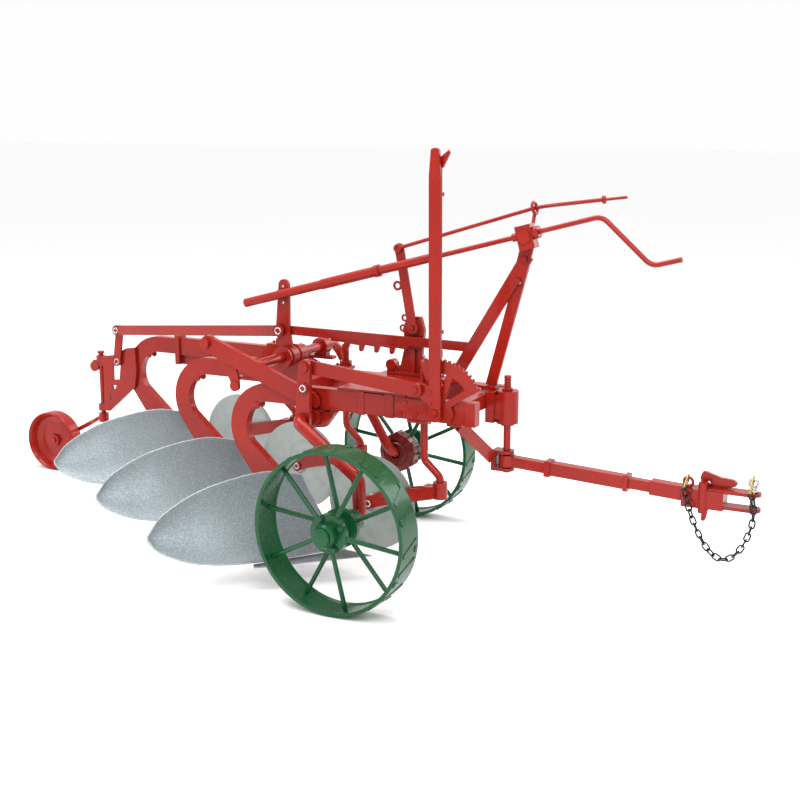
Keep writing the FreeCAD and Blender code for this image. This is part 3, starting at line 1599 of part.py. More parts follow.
def hitch_head():
    """Casting at the drawbar's end: clevis plates, column, ear, tail and sprung catch."""
    y = float(size("tower_y"))
    pin_x = size("clevis_pin_x")
    gap = float(size("clevis_gap"))
    middle = 484
    core = block("head_core", (1240, y - 40, middle - 46), 176, 80, 78)
    column = cylinder("head_column", (1330, y - 30, middle - 64), (0, 0, 1), 20, 128)
    plates = []
    for number, low in enumerate((middle - gap / 2 - 14, middle + gap / 2)):
        tongue = block(f"head_tongue_{number}", (1330, y - 34, low), float(pin_x) - 1330, 68, 14)
        nose = cylinder(f"head_nose_{number}", (pin_x, y, low), (0, 0, 1), 34, 14)
        plates += [tongue, nose]
    ear = doc.addObject("Part::Torus", "head_ear")
    ear.Radius1 = 20
    ear.Radius2 = 6
    ear.Placement = FreeCAD.Placement(
        Vector(1262, y - 14, middle + 54), FreeCAD.Rotation(Vector(0, 0, 1), Vector(0, 1, 0))
    )
    tail = plate(
        "head_tail",
        [(1316, 440), (1356, 440), (1348, 396), (1338, 386), (1328, 392), (1330, 420)],
        y - 44,
        14,
    )
    catch = plate(
        "head_catch",
        [
            (1306, 560),
            (1316, 584),
            (1334, 586),
            (1400, 566),
            (1448, 562),
            (1462, 552),
            (1456, 538),
            (1430, 528),
            (1318, 518),
        ],
        y + 4,
        20,
    )
    bore = cylinder("head_bore", (pin_x, y, 300), (0, 0, 1), size("clevis_pin_radius") + 0.6, 400)
    socket = block("head_socket", (1200, y - 27.2, 400), 40.2, 54.4, 160)
    solid = fuse("head_solid", [core, column, ear, tail, catch] + plates)
    publish(cut("head_bored", solid, [bore, socket]), "hitch_head")


def hitch_pin():
    """Draw pin with a ring on its head."""
    y = size("tower_y")
    x = size("clevis_pin_x")
    shaft = cylinder("pin_shaft", (x, y, 428), (0, 0, 1), size("clevis_pin_radius"), 106)
    head = cylinder("pin_head", (x, y, 525.5), (0, 0, 1), 22, 12)
    ring = doc.addObject("Part::Torus", "pin_ring")
    ring.Radius1 = 20
    ring.Radius2 = 5
    ring.Placement = FreeCAD.Placement(
        point(x, y, 560), FreeCAD.Rotation(Vector(0, 0, 1), Vector(0, 1, 0))
    )
    publish(fuse("pin_solid", [shaft, head, ring]), "hitch_pin")



def chain_link(name, start, end, sideways, radius, half_width):
    """One welded link: a round bar bent to a ring with straight sides, from end to end."""
    along = (end - start).normalize()
    middle = (start + end) * 0.5
    half = (end - start).Length / 2
    across = along.cross(sideways).normalize() * half_width
    tips = [middle - along * (half + half_width), middle + along * (half + half_width)]
    corners = [middle - along * half + across, middle + along * half + across]
    corners += [middle + along * half - across, middle - along * half - across]
    edges = [
        Part.LineSegment(corners[0], corners[1]),
        Part.Arc(corners[1], tips[1], corners[2]),
        Part.LineSegment(corners[2], corners[3]),
        Part.Arc(corners[3], tips[0], corners[0]),
    ]
    spine = doc.addObject("Part::Feature", name + "_spine")
    spine.Shape = Part.Wire([edge.toShape() for edge in edges])
    profile = doc.addObject("Part::Circle", name + "_section")
    profile.Radius = radius
    profile.Placement = FreeCAD.Placement(corners[0], FreeCAD.Rotation(Vector(0, 0, 1), along))
    sweep = doc.addObject("Part::Sweep", name)
    sweep.Sections = [profile]
    sweep.Spine = spine
    sweep.Solid = True
    return sweep


def chain():
    """Safety chain: large end links through the head's ear and the pin's ring, small links between."""
    y = float(size("tower_y"))
    near = y - 62
    stops = [
        (1263, near - 4, 520),
        (1278, near - 4, 456),
        (1320, near - 3, 352),
        (1376, near - 2, 268),
        (1438, near, 240),
        (1498, near + 2, 290),
        (1540, near + 4, 392),
        (1545, near + 6, 480),
        (1530, near + 6, 540),
    ]
    curve = Part.BSplineCurve()
    curve.interpolate([Vector(*stop) for stop in stops])
    count = 23
    places = curve.discretize(Number=count + 1)
    links = []
    for number in range(count):
        first, second = places[number], places[number + 1]
        along = (second - first).normalize()
        slack = along * 6.4
        sideways = along.cross(Vector(0, 1, 0)) if number % 2 else Vector(0, 1, 0)
        links.append(chain_link(f"link_{number}", first + slack, second - slack, sideways, 3.5, 10.2))
    ear_end = Vector(1262, y - 14.6, 557.6)
    pin_end = Vector(1528, y - 0.4, 579.6)
    top_of_chain = places[0] + Vector(0, 0, 7)
    end_of_chain = places[-1] + Vector(0, 0, 6)
    ends = [
        chain_link("end_link_ear", ear_end, top_of_chain, Vector(1, 0, 0), 4, 12),
        chain_link("end_link_pin", end_of_chain, pin_end, Vector(1, 0, 0), 4, 12),
    ]
    publish(group("chain_links", links + ends), "chain")


# ---------------------------------------------------------------------------------------------
# Assembly
# ---------------------------------------------------------------------------------------------
def build():
    for index in range(3):
        mouldboard(index)
        cutting_share(index)
        standard(index)
        coulter_yoke(index)
        coulter_disc(index)
    frogs()
    landsides()
    front_beam()
    middle_beam()
    rear_beam()
    lift_brace()
    crossbars()
    deck_plate()
    hitch_casting()
    hitch_post()
    hitch_stay()
    tower()
    quadrant()
    axle_bearings()
    coulter_clamps()
    coulter_shanks()
    wheels()
    furrow_axle()
    furrow_arm()
    hand_lever()
    lever_link()
    land_axle()
    clutch_drum()
    depth_arm()
    rear_link()
    front_link()
    screw_tube()
    crank_rod()
    trunnion()
    trip_stand()
    trip_lever()
    trip_rod()
    rear_bracket()
    rear_rocker()
    rear_post()
    rear_fork()
    rear_wheel()
    drawbar()
    hitch_head()
    hitch_pin()
    chain()


def check_and_export():
    """Refuse a failed object or an unsound sub-part, then write one file per sub-part."""
    for item in doc.Objects:
        if "Invalid" in item.State or "Error" in item.State:
            raise RuntimeError(f"{item.Name} failed: {item.State}")
    for label, item in parts.items():
        if item.Shape.isNull() or not item.Shape.isValid():
            raise RuntimeError(f"{label} has no sound shape")
    os.makedirs("parts", exist_ok=True)
    for label, item in parts.items():
        item.Shape.exportStep(f"parts/{label}.step")


build()
doc.recompute()
check_and_export()
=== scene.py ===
"""Looks for the three-bottom tractor plow: enamel, cast iron, steel, chain and small hardware."""
import math
import bpy
from mathutils import Matrix, Vector


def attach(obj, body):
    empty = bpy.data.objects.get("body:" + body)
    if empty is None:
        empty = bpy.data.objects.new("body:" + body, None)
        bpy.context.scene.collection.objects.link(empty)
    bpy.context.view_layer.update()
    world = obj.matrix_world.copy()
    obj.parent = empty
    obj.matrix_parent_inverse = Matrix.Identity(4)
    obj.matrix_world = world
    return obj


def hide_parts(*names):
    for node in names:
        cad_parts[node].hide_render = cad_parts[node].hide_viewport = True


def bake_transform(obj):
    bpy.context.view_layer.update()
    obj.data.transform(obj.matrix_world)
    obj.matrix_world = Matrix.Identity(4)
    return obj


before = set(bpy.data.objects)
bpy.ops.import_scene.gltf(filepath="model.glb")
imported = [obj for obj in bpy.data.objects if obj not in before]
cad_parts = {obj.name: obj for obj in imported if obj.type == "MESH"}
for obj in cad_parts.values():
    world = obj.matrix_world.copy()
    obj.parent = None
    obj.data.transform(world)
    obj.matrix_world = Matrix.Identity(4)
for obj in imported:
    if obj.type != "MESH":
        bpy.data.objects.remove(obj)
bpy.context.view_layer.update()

BOTTOMS = ("front", "middle", "rear")
DATUM = Vector((0.620, -0.6675, 0.0))
LENS_MM = 60.9255
VIEW_DISTANCE = 5.83411
VIEW_AIM = (72.117, 440.795, 829.9)
FLOOR_HALF = 60
FLOOR_LEVEL = -0.001


def at(x, y, z):
    """A point given in millimetres from the furrow wheel's foot, in the part's frame."""
    return Vector((x, y, z)) / 1000 + DATUM


# ---------------------------------------------------------------------------------------------
# Camera, floor and lights
# ---------------------------------------------------------------------------------------------
def make_camera():
    """Camera to the right of and a little above the plow, given by its turn, lift and roll."""
    turn, lift, roll = 0.486229, 0.212189, -0.0032684
    back = Vector((math.sin(turn) * math.cos(lift), -math.cos(turn) * math.cos(lift), math.sin(lift)))
    right = Vector((math.cos(turn), math.sin(turn), 0))
    up = back.cross(right)
    c, s = math.cos(roll), math.sin(roll)
    right, up = c * right + s * up, c * up - s * right
    place = at(*VIEW_AIM) + VIEW_DISTANCE * back
    data = bpy.data.cameras.new("camera")
    data.sensor_width = 36
    data.lens = LENS_MM
    data.clip_end = 200
    camera = bpy.data.objects.new("camera", data)
    camera.matrix_world = Matrix((
        (right.x, up.x, back.x, place.x),
        (right.y, up.y, back.y, place.y),
        (right.z, up.z, back.z, place.z),
        (0, 0, 0, 1),
    ))
    bpy.context.scene.collection.objects.link(camera)
    bpy.context.scene.camera = camera


def area_light(name, place, aim, size, power):
    """A soft rectangular light at a place, turned towards its aim."""
    data = bpy.data.lights.new(name, "AREA")
    data.shape = "RECTANGLE"
    data.size, data.size_y = size
    data.energy = power
    light = bpy.data.objects.new(name, data)
    light.location = place
    light.rotation_euler = (Vector(aim) - Vector(place)).to_track_quat("-Z", "Y").to_euler()
    bpy.context.scene.collection.objects.link(light)


def make_studio():
    """White surroundings, a plain pale floor and four soft lights."""
    world = bpy.data.worlds.new("studio")
    world.use_nodes = True
    world.node_tree.nodes["Background"].inputs["Color"].default_value = (1, 1, 1, 1)
    world.node_tree.nodes["Background"].inputs["Strength"].default_value = 0.99
    bpy.context.scene.world = world
    mesh = bpy.data.meshes.new("floor")
    signs = ((-1, -1), (1, -1), (1, 1), (-1, 1))
    corners = [(a * FLOOR_HALF, b * FLOOR_HALF, FLOOR_LEVEL) for a, b in signs]
    mesh.from_pydata(corners, [], [(0, 1, 2, 3)])
    floor = bpy.data.objects.new("floor", mesh)
    bpy.context.scene.collection.objects.link(floor)
    paper = bpy.data.materials.new("paper")
    paper.use_nodes = True
    shader = paper.node_tree.nodes["Principled BSDF"]
    shader.inputs["Base Color"].default_value = (0.97, 0.97, 0.97, 1)
    shader.inputs["Roughness"].default_value = 0.8
    mesh.materials.append(paper)
    area_light("key", (2.5, -4.5, 5.5), (0, 0, 0.4), (3.5, 3.5), 260)
    area_light("top", (-1.0, 0.5, 6.0), (-0.3, 0, 0.5), (5, 4), 330)
    area_light("fill", (-6.0, -3.5, 2.5), (0, 0, 0.6), (3, 3), 70)
    area_light("rim", (3.0, 6.0, 3.5), (0, 0, 0.8), (4, 3), 130)
    bpy.context.scene.view_settings.view_transform = "Standard"


# ---------------------------------------------------------------------------------------------
# Materials
# ---------------------------------------------------------------------------------------------
class Shade:
    """A node material under construction."""

    def __init__(self, name):
        self.material = bpy.data.materials.new(name)
        self.material.use_nodes = True
        self.tree = self.material.node_tree
        self.shader = self.tree.nodes["Principled BSDF"]
        self.place = self.node("ShaderNodeTexCoord").outputs["Object"]

    def node(self, kind, **inputs):
        """A new node with its inputs linked or set."""
        made = self.tree.nodes.new(kind)
        for key, value in inputs.items():
            self.feed(made, key, value)
        return made

    def feed(self, node, key, value):
        """Link a socket to an input, or set the input to a constant."""
        socket = node.inputs[key if isinstance(key, int) else key.replace("_", " ")]
        if isinstance(value, bpy.types.NodeSocket):
            self.tree.links.new(value, socket)
        else:
            socket.default_value = value

    def surface(self, **inputs):
        """Feed the surface shader's inputs."""
        for key, value in inputs.items():
            self.feed(self.shader, key, value)

    def noise(self, scale, detail=3, rough=0.55, vector=None):
        """Soft random value over the piece, or over a given vector."""
        place = vector or self.place
        made = self.node("ShaderNodeTexNoise", Vector=place, Scale=scale, Detail=detail, Roughness=rough)
        return made.outputs["Fac"]

    def ramp(self, value, low, high, start=0.0, end=1.0):
        """Linear ramp of a value from start to end between low and high."""
        made = self.node("ShaderNodeMapRange", Value=value)
        made.inputs["From Min"].default_value = low
        made.inputs["From Max"].default_value = high
        made.inputs["To Min"].default_value = start
        made.inputs["To Max"].default_value = end
        return made.outputs["Result"]

    def math(self, kind, first, second):
        """A clamped sum or product of two values."""
        made = self.tree.nodes.new("ShaderNodeMath")
        made.operation = kind
        made.use_clamp = True
        self.feed(made, 0, first)
        self.feed(made, 1, second)
        return made.outputs[0]

    def mix(self, factor, first, second):
        """The first colour at factor 0, the second at factor 1."""
        made = self.tree.nodes.new("ShaderNodeMix")
        made.data_type = "RGBA"
        self.feed(made, 0, factor)
        for index, value in ((6, first), (7, second)):
            self.feed(made, index, value if isinstance(value, bpy.types.NodeSocket) else (*value, 1))
        return made.outputs[2]

    def edges(self, radius=0.004):
        """1 along outside edges, 0 on flats, from how far a rounded normal leaves the face's."""
        made = self.tree.nodes.new("ShaderNodeBevel")
        made.samples = 4
        made.inputs["Radius"].default_value = radius
        geometry = self.tree.nodes.new("ShaderNodeNewGeometry")
        dot = self.tree.nodes.new("ShaderNodeVectorMath")
        dot.operation = "DOT_PRODUCT"
        self.tree.links.new(made.outputs[0], dot.inputs[0])
        self.tree.links.new(geometry.outputs["Normal"], dot.inputs[1])
        return made.outputs[0], self.ramp(dot.outputs["Value"], 0.995, 0.8)

    def occlusion_shade(self, distance=0.04):
        """Mask for painted shade, from ambient occlusion: 1 in tight corners, 0 on open faces."""
        made = self.tree.nodes.new("ShaderNodeAmbientOcclusion")
        made.samples = 4
        made.inputs["Distance"].default_value = distance
        return self.ramp(made.outputs["AO"], 0.75, 0.2)

    def bump(self, height, strength, distance, normal=None):
        """A normal tilted by a height value."""
        made = self.node("ShaderNodeBump", Height=height, Strength=strength, Distance=distance)
        if normal:
            self.tree.links.new(normal, made.inputs["Normal"])
        return made.outputs["Normal"]


def enamel(name, colour, shadow, worn_and_highlit_edge, coat=0.16, rough=0.22):
    """Sprayed gloss paint over cast iron: mottled tone, painted shade in corners, edges lightened by rubbed
    wear and a painted highlight, faint peel.
    """
    shade = Shade(name)
    rounded, edge = shade.edges()
    tone = shade.mix(shade.ramp(shade.noise(5), 0.3, 0.7), colour, shadow)
    # Painted shade: patchy darkening in the corners, taken from ambient occlusion.
    shade_in_corners = shade.math("MULTIPLY", shade.occlusion_shade(), shade.ramp(shade.noise(22), 0.25, 0.7, 0.35, 1.0))
    tone = shade.mix(shade_in_corners, tone, [0.16 * part + 0.004 for part in colour])
    # Lighter along edges in patches: rubbed wear and a painted edge highlight.
    rub_and_highlight = shade.math("MULTIPLY", edge, shade.ramp(shade.noise(34, 5, 0.7), 0.5, 0.68))
    tone = shade.mix(shade.math("MULTIPLY", rub_and_highlight, 0.35), tone, worn_and_highlit_edge)
    dust = shade.ramp(shade.noise(60, 4), 0.35, 0.8, rough, rough + 0.16)
    peel = shade.math("ADD", shade.math("MULTIPLY", shade.noise(260, 2), 0.35), shade.noise(38, 4, 0.6))
    shade.surface(
        Base_Color=tone,
        Roughness=dust,
        Specular_IOR_Level=0.2,
        Coat_Weight=coat,
        Coat_Roughness=0.07,
        Normal=shade.bump(peel, 0.06, 0.0012, rounded),
    )
    return shade.material


def flake_paint(name, colour, bright):
    """Silver paint with fine flakes, scoured a little along the way the soil runs, with a painted highlight
    lightening its edges almost to white.
    """
    shade = Shade(name)
    rounded, edge = shade.edges(0.006)
    cells = shade.node("ShaderNodeTexVoronoi", Vector=shade.place, Scale=420.0)
    flakes = shade.node("ShaderNodeSeparateColor", Color=cells.outputs["Color"]).outputs[0]
    tone = shade.mix(shade.ramp(shade.noise(3.5), 0.3, 0.7), colour, [0.86 * part for part in colour])
    tone = shade.mix(shade.ramp(flakes, 0.45, 1.0, 0.0, 0.55), tone, bright)
    stretched = shade.node("ShaderNodeMapping", Vector=shade.place)
    stretched.inputs["Rotation"].default_value = (0, 0, math.radians(-40))
    stretched.inputs["Scale"].default_value = (2, 2, 60)
    streak = shade.noise(3, 5, 0.65, stretched.outputs["Vector"])
    tone = shade.mix(shade.ramp(streak, 0.55, 0.8, 0.0, 0.18), tone, [0.7 * part for part in colour])
    # Painted highlight: every edge lightened almost to white.
    tone = shade.mix(shade.math("MULTIPLY", edge, 0.85), tone, (0.86, 0.88, 0.9))
    height = shade.math("ADD", shade.math("MULTIPLY", flakes, 0.5), shade.math("MULTIPLY", streak, 0.4))
    shade.surface(
        Base_Color=tone,
        Metallic=0.55,
        Roughness=shade.ramp(flakes, 0.0, 1.0, 0.48, 0.3),
        Normal=shade.bump(height, 0.22, 0.0008, rounded),
    )
    return shade.material


def bare_metal(name, colour, rough, grain=90.0, metallic=1.0):
    """Turned or drawn metal with fine grain, light smudges, painted shade in the corners and a painted
    highlight along the edges.
    """
    shade = Shade(name)
    rounded, edge = shade.edges(0.0015)
    smudge = shade.noise(14, 4)
    tone = shade.mix(shade.ramp(smudge, 0.3, 0.75), colour, [0.86 * part for part in colour])
    # Painted shade: darker in the corners, from ambient occlusion.
    tone = shade.mix(shade.occlusion_shade(0.02), tone, [0.3 * part for part in colour])
    # Painted highlight: lighter along every edge.
    tone = shade.mix(shade.math("MULTIPLY", edge, 0.5), tone, [min(1, 1.35 * part) for part in colour])
    shade.surface(
        Base_Color=tone,
        Metallic=metallic,
        Roughness=shade.ramp(shade.noise(40, 5), 0.3, 0.75, rough, rough + 0.18),
        Normal=shade.bump(shade.noise(grain, 4, 0.7), 0.12, 0.0006, rounded),
    )
    return shade.material


def chain_metal(name):
    """Blackened links, with brass on the two large end links above the head's plates."""
    shade = Shade(name)
    height = shade.node("ShaderNodeSeparateXYZ", Vector=shade.place).outputs["Z"]
    brass = shade.ramp(height, 0.531, 0.533)
    tone = shade.mix(shade.ramp(shade.noise(70, 4), 0.35, 0.7), (0.018, 0.017, 0.016), (0.05, 0.046, 0.042))
    tone = shade.mix(brass, tone, (0.42, 0.31, 0.12))
    shade.surface(
        Base_Color=tone,
        Metallic=0.9,
        Roughness=shade.ramp(shade.noise(120, 3), 0.3, 0.7, 0.28, 0.5),
        Normal=shade.bump(shade.noise(300, 3), 0.2, 0.0005),
    )
    return shade.material


RED = enamel("red_enamel", (0.30, 0.0115, 0.005), (0.24, 0.008, 0.004), (0.50, 0.08, 0.05))
DARK_RED = enamel("dark_red_enamel", (0.13, 0.007, 0.005), (0.10, 0.005, 0.004), (0.3, 0.06, 0.05))
GREEN = enamel("green_enamel", (0.0055, 0.078, 0.025), (0.004, 0.058, 0.019), (0.07, 0.22, 0.12))
SILVER = flake_paint("silver_flake", (0.157, 0.189, 0.203), (0.42, 0.46, 0.48))
STEEL = bare_metal("disc_steel", (0.36, 0.385, 0.37), 0.40)
BRIGHT = bare_metal("bright_zinc", (0.60, 0.61, 0.63), 0.2)
BLACK = bare_metal("black_steel", (0.05, 0.048, 0.045), 0.35)
CHAIN = chain_metal("chain_metal")


def paint_nodes():
    """Give every CAD node its material by name."""
    for name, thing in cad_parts.items():
        material = RED
        if "wheel" in name and "rear" not in name:
            material = GREEN
        elif name.startswith(("mouldboard", "share", "landside")):
            material = SILVER
        elif name.startswith("coulter_disc"):
            material = STEEL
        elif name == "clutch_drum":
            material = DARK_RED
        elif name == "chain":
            material = CHAIN
        elif name == "hitch_pin":
            material = BRIGHT
        thing.data.materials.clear()
        thing.data.materials.append(material)


# ---------------------------------------------------------------------------------------------
# Mesh building
# ---------------------------------------------------------------------------------------------
def new_piece(name, vertices, faces, material, body, smooth=True):
    """A mesh piece in the part's frame, riding on a body where one is named."""
    mesh = bpy.data.meshes.new(name)
    mesh.from_pydata([tuple(v) for v in vertices], [], faces)
    mesh.validate()
    mesh.shade_smooth() if smooth else mesh.shade_flat()
    mesh.materials.append(material)
    piece = bpy.data.objects.new(name, mesh)
    bpy.context.scene.collection.objects.link(piece)
    if body:
        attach(piece, body)
    return piece


def smooth_stops(stops, count):
    """Evenly numbered points on a Catmull-Rom curve through the stops."""
    stops = [Vector(stop) for stop in stops]
    padded = [2 * stops[0] - stops[1]] + stops + [2 * stops[-1] - stops[-2]]
    dense = []
    for a, b, c, d in zip(padded, padded[1:], padded[2:], padded[3:]):
        for step in range(40):
            t = step / 40
            square = (2 * a - 5 * b + 4 * c - d) * t ** 2
            cube = (3 * b - a - 3 * c + d) * t ** 3
            dense.append(0.5 * (2 * b + (c - a) * t + square + cube))
    dense.append(stops[-1])
    lengths = [0.0]
    for first, second in zip(dense, dense[1:]):
        lengths.append(lengths[-1] + (second - first).length)
    points = []
    place = 0
    for number in range(count):
        aim = lengths[-1] * number / (count - 1)
        while place < len(dense) - 2 and lengths[place + 1] < aim:
            place += 1
        span = lengths[place + 1] - lengths[place]
        points.append(dense[place].lerp(dense[place + 1], (aim - lengths[place]) / span if span else 0))
    return points


def add_ring(vertices, faces, route, radius, plane_normal, sides=10):
    """A round bar bent along a closed flat route, appended to a mesh's lists."""
    base = len(vertices)
    count = len(route)
    for number, centre in enumerate(route):
        along = (route[(number + 1) % count] - route[number - 1]).normalized()
        out = along.cross(plane_normal).normalized()
        for side in range(sides):
            angle = 2 * math.pi * side / sides
            vertices.append(centre + radius * (math.cos(angle) * out + math.sin(angle) * plane_normal))
    for number in range(count):
        after = (number + 1) % count
        for side in range(sides):
            beside = (side + 1) % sides
            faces.append((base + number * sides + side, base + after * sides + side,
                          base + after * sides + beside, base + number * sides + beside))


def rim_point(place, axis, level, radius, angle, side_a, side_b):
    """A point on a circle about an axis, at a level along it."""
    return Vector(place) + axis * level + radius * (math.cos(angle) * side_a + math.sin(angle) * side_b)


def lathe(name, profile, place, axis, material, body, sides=32):
    """A turned piece: profile is (radius, height) pairs along the axis, in metres."""
    axis = Vector(axis).normalized()
    side_a = axis.orthogonal().normalized()
    side_b = axis.cross(side_a)
    vertices, faces = [], []
    for radius, height in profile:
        for step in range(sides):
            angle = 2 * math.pi * step / sides
            vertices.append(rim_point(place, axis, height, radius, angle, side_a, side_b))
    for row in range(len(profile) - 1):
        for step in range(sides):
            beside = (step + 1) % sides
            low, high = row * sides, (row + 1) * sides
            faces.append((low + step, low + beside, high + beside, high + step))
    faces.append(tuple(range(sides))[::-1])
    faces.append(tuple((len(profile) - 1) * sides + step for step in range(sides)))
    piece = new_piece(name, vertices, faces, material, body)
    bevel = piece.modifiers.new("soften", "BEVEL")
    bevel.width = 0.0006
    bevel.segments = 2
    bevel.limit_method = "ANGLE"
    return piece


# ---------------------------------------------------------------------------------------------
# Mouldboards and shares
# ---------------------------------------------------------------------------------------------
LOW_EDGE = [(-205, 430, 122), (-460, 78, 118), (-640, -84, 132), (-775, -163.5, 182), (-838, -176, 236)]
HIGH_EDGE = [(-433, 440, 435), (-569, 322, 457), (-728, 102, 414), (-822, -72, 332), (-846, -166, 250)]


def make_mouldboard(index):
    """A hollowed sheet with rounded rims, standing for the plain lofted one."""
    shift = Vector((-625 * index, 406 * index, 0))
    rows, columns = 64, 30
    low = smooth_stops(LOW_EDGE, rows)
    high = smooth_stops(HIGH_EDGE, rows)
    vertices, faces = [], []
    for row in range(rows):
        before, after = max(row - 1, 0), min(row + 1, rows - 1)
        along = (low[after] - low[before]).normalized() + (high[after] - high[before]).normalized()
        back = along.cross(high[row] - low[row]).normalized()
        if back.x > 0:
            back = -back
        fade = 1 - row / (rows - 1)
        hollow = 34 * fade ** 0.5 + 1
        for column in range(columns):
            t = column / (columns - 1)
            spot = low[row].lerp(high[row], t) + back * hollow * (1 - (2 * t - 1) ** 2)
            vertices.append(at(*(spot + shift)))
    for row in range(rows - 1):
        for column in range(columns - 1):
            corner = row * columns + column
            faces.append((corner, corner + 1, corner + columns + 1, corner + columns))
    sheet = new_piece(f"mouldboard_sheet_{BOTTOMS[index]}", vertices, faces, SILVER, "frame")
    thick = sheet.modifiers.new("thickness", "SOLIDIFY")
    thick.thickness = 0.0078
    thick.offset = 0
    thick.use_even_offset = True
    rim = sheet.modifiers.new("rim", "BEVEL")
    rim.width = 0.0022
    rim.segments = 3
    rim.limit_method = "ANGLE"
    rim.angle_limit = math.radians(50)
    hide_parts(f"mouldboard_{BOTTOMS[index]}")


# ---------------------------------------------------------------------------------------------
# Chain
# ---------------------------------------------------------------------------------------------
def link_route(start, end, plane_normal, half_width, steps=10):
    """Closed route of a link with round ends about start and end."""
    along = (end - start).normalized()
    across = plane_normal.cross(along).normalized()
    route = []
    for centre, first in ((end, 90), (start, 270)):
        for step in range(steps + 1):
            angle = math.radians(first - 180 * step / steps)
            route.append(centre + half_width * (math.cos(angle) * along + math.sin(angle) * across))
    return route


def make_chain():
    """Alternating small links hung in a bow, with a large end link at the ear and at the pin."""
    near = 698
    stops = [
        (1263, near - 4, 520), (1278, near - 4, 456), (1320, near - 3, 352), (1376, near - 2, 268),
        (1438, near, 240), (1498, near + 2, 290), (1540, near + 4, 392), (1545, near + 6, 480),
        (1530, near + 6, 540),
    ]
    places = [at(*stop) for stop in smooth_stops(stops, 24)]
    vertices, faces = [], []
    for number, (first, second) in enumerate(zip(places, places[1:])):
        along = (second - first).normalized()
        flat = Vector((0, 1, 0)) if number % 2 == 0 else along.cross(Vector((0, 1, 0))).normalized()
        tilt = math.radians(14 * math.sin(2.3 * number))
        flat = Matrix.Rotation(tilt, 3, along) @ flat
        route = link_route(first + along * 0.0074, second - along * 0.0074, flat, 0.0112)
        add_ring(vertices, faces, route, 0.0036, flat)
    sideways = Vector((1, 0, 0))
    for start, end in (
        (at(1262, 745.4, 557.6), places[0] + Vector((0, 0, 0.007))),
        (places[-1] + Vector((0, 0, 0.006)), at(1528, 759.6, 579.6)),
    ):
        flat = sideways - sideways.project(end - start)
        flat.normalize()
        add_ring(vertices, faces, link_route(start, end, flat, 0.012), 0.004, flat)
    piece = new_piece("safety_chain", vertices, faces, CHAIN, None)
    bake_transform(piece)
    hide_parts("chain")


# ---------------------------------------------------------------------------------------------
# Small hardware
# ---------------------------------------------------------------------------------------------
NEAR = (0, -1, 0)
FAR = (0, 1, 0)
UP = (0, 0, 1)


def eyelet(name, place, axis, body, radius=0.016):
    """A hollow bright rivet, rolled over at its rim, with a dark bore."""
    r = radius
    profile = [
        (r, -0.0015), (r, 0.0012), (0.93 * r, 0.0034), (0.80 * r, 0.0046),
        (0.66 * r, 0.0036), (0.58 * r, 0.0012), (0.55 * r, -0.0012),
    ]
    lathe(name, profile, place, axis, BRIGHT, body)


def button(name, place, axis, body, radius=0.014, material=None):
    """A domed rivet head with a small collar."""
    r = radius
    profile = [(1.12 * r, -0.001), (1.12 * r, 0.0012), (r, 0.0018)]
    for step in range(1, 7):
        angle = math.radians(90 * step / 7)
        profile.append((r * math.cos(angle), 0.0018 + 0.5 * r * math.sin(angle)))
    lathe(name, profile, place, axis, material or RED, body)


def hexagon(name, place, axis, body, across=0.026, height=0.010, material=None, turn=0.0):
    """A hexagon bolt head or nut on a washer, with its chamfered crown."""
    axis = Vector(axis).normalized()
    side_a = Matrix.Rotation(turn, 3, axis) @ axis.orthogonal().normalized()
    side_b = axis.cross(side_a)
    r = across / math.sqrt(3)
    vertices, faces = [], []
    rows = [(1.28 * r, 0, 24), (1.28 * r, 0.0022, 24)]
    for radius, level, sides in rows:
        for step in range(sides):
            angle = 2 * math.pi * step / sides
            vertices.append(rim_point(place, axis, level, radius, angle, side_a, side_b))
    faces += [(s, (s + 1) % 24, 24 + (s + 1) % 24, 24 + s) for s in range(24)]
    faces.append(tuple(range(24, 48)))
    base = len(vertices)
    for radius, level in ((r, 0.0022), (r, 0.0022 + 0.82 * height), (0.84 * r, 0.0022 + height)):
        for step in range(6):
            angle = math.pi / 3 * step
            vertices.append(rim_point(place, axis, level, radius, angle, side_a, side_b))
    for row in range(2):
        for step in range(6):
            faces.append((base + row * 6 + step, base + row * 6 + (step + 1) % 6,
                          base + row * 6 + 6 + (step + 1) % 6, base + row * 6 + 6 + step))
    faces.append(tuple(base + 12 + step for step in range(6)))
    return new_piece(name, vertices, faces, material or RED, body, smooth=False)


def make_draw_pin():
    """Draw pin with its collar and thick pull ring, standing for the plain one."""
    x, y = 1528, 760
    vertices, faces = [], []
    ring_middle = at(x, y, 562)
    route = []
    for step in range(30):
        angle = math.radians(12 * step)
        route.append(ring_middle + 0.0185 * Vector((math.cos(angle), 0, math.sin(angle))))
    add_ring(vertices, faces, route, 0.0065, Vector((0, 1, 0)), 14)
    ring = new_piece("draw_pin_ring", vertices, faces, BRIGHT, "draw_pin")
    profile = [
        (0.009, 0.0), (0.0127, 0.005), (0.0127, 0.097), (0.021, 0.0975), (0.022, 0.1), (0.022, 0.106),
        (0.020, 0.109), (0.014, 0.111), (0.0125, 0.117), (0.009, 0.121),
    ]
    shaft = lathe("draw_pin_shaft", profile, at(x, y, 428), UP, BRIGHT, "draw_pin")
    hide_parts("hitch_pin")


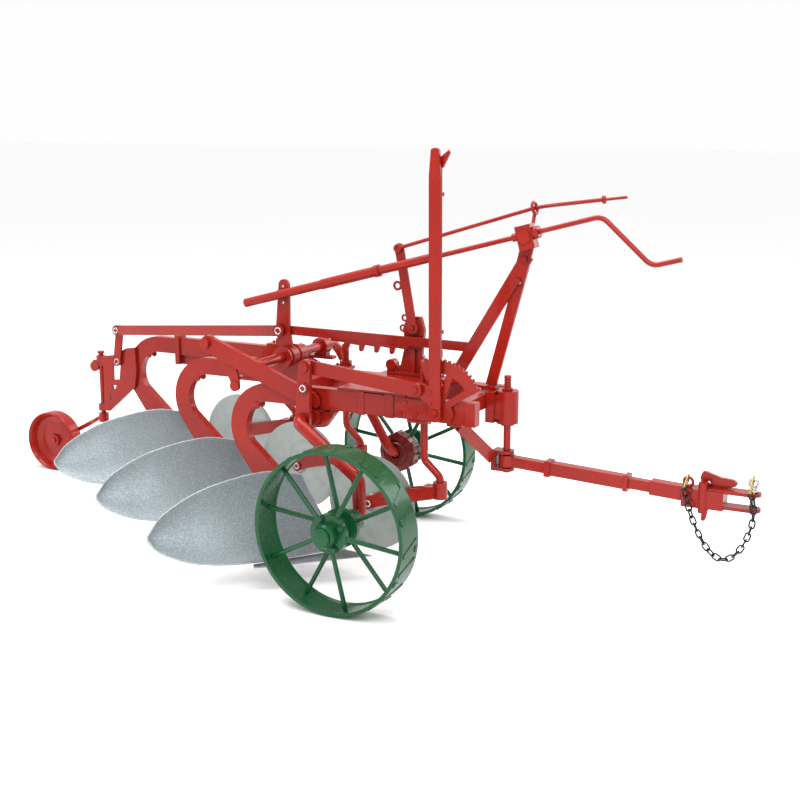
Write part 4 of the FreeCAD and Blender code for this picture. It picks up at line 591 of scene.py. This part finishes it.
def dress_wheel(name, body, centre, outside, tread):
    """Hub cap and the square heads of the bolts that hold the lugs, on one wheel."""
    x, y, z = centre
    cap = [
        (0.030, -0.002), (0.0400, 0.0), (0.0405, 0.010),
        (0.0385, 0.0135), (0.033, 0.0155), (0.012, 0.0165),
    ]
    lathe(f"{name}_hub_cap", cap, at(x, y + outside, z), NEAR, GREEN, body)
    vertices, faces = [], []
    for number in range(16):
        angle = math.radians(22.5 * number + 16)
        out = Vector((math.cos(angle), 0, math.sin(angle)))
        round_way = Vector((-math.sin(angle), 0, math.cos(angle)))
        middle = at(x, y + (tread if number % 2 else -tread), z)
        base = len(vertices)
        for reach, half in ((0.346, 0.012), (0.3525, 0.012), (0.3545, 0.0095)):
            for a, b in ((-1, -1), (1, -1), (1, 1), (-1, 1)):
                vertices.append(middle + reach * out + half * (a * round_way + b * Vector((0, 1, 0))))
        for row in (base, base + 4):
            for side in range(4):
                beside = (side + 1) % 4
                faces.append((row + side, row + beside, row + 4 + beside, row + 4 + side))
        faces.append((base + 8, base + 9, base + 10, base + 11))
        faces.append((base + 3, base + 2, base + 1, base))
    new_piece(f"{name}_lug_bolts", vertices, faces, GREEN, body, smooth=False)


def fit_hardware():
    """Eyelets, rivets and bolts, each riding on the body that it is fixed to."""
    for index, bottom in enumerate(BOTTOMS):
        x = -75 - 625 * index
        y = 450 + 406 * index
        fork = f"coulter_fork_{bottom}"
        eyelet(f"coulter_eyelet_{bottom}", at(x - 10, y - 22, 345), NEAR, fork)
        eyelet(f"coulter_far_eyelet_{bottom}", at(x - 10, y + 46, 345), FAR, fork)
        button(f"standard_rivet_{bottom}", at(x - 586, y - 22, 735), NEAR, "frame", 0.016)
        button(f"standard_far_rivet_{bottom}", at(x - 586, y + 22.5, 735), FAR, "frame", 0.016)
        for number in range(4):
            spot = at(x - 190 - 105 * number, y + 26.5, 145)
            button(f"landside_bolt_{bottom}_{number}", spot, FAR, "frame", 0.010, SILVER)
    eyelet("link_eyelet_front", at(-733, 729, 1028), NEAR, "lift_link", 0.019)
    eyelet("link_eyelet_rear", at(-2083, 1174, 867), NEAR, "lift_link", 0.017)
    eyelet("rocker_eyelet", at(-2111, 1204, 686), NEAR, "rocker", 0.017)
    eyelet("arm_eyelet_low", at(-352, 331, 858), NEAR, "furrow_crank", 0.017)
    for name, body, centre, face in (
        ("furrow", "furrow_wheel", (0, 0, 355), -63),
        ("land", "land_wheel", (-378, 1389, 355), -62),
    ):
        for number in range(4):
            angle = math.radians(90 * number + 27)
            x, y, z = centre
            spot = at(x + 68 * math.cos(angle), y + face, z + 68 * math.sin(angle))
            hexagon(f"{name}_hub_bolt_{number}", spot, NEAR, body, 0.022, 0.009, GREEN, angle)
    dress_wheel("furrow", "furrow_wheel", (0, 0, 355), -112, 52)
    dress_wheel("land", "land_wheel", (-378, 1389, 355), -72, 42)
    button("catch_rivet", at(1345, 763.5, 540), NEAR, "hitch_bar", 0.008, BRIGHT)
    button("catch_rivet_far", at(1345, 784.5, 540), FAR, "hitch_bar", 0.008, BRIGHT)
    button("tower_rivet_bright", at(484, 751, 1328), NEAR, "frame", 0.011, BRIGHT)


make_camera()
make_studio()
paint_nodes()
for bottom in range(3):
    make_mouldboard(bottom)
make_chain()
make_draw_pin()
fit_hardware()
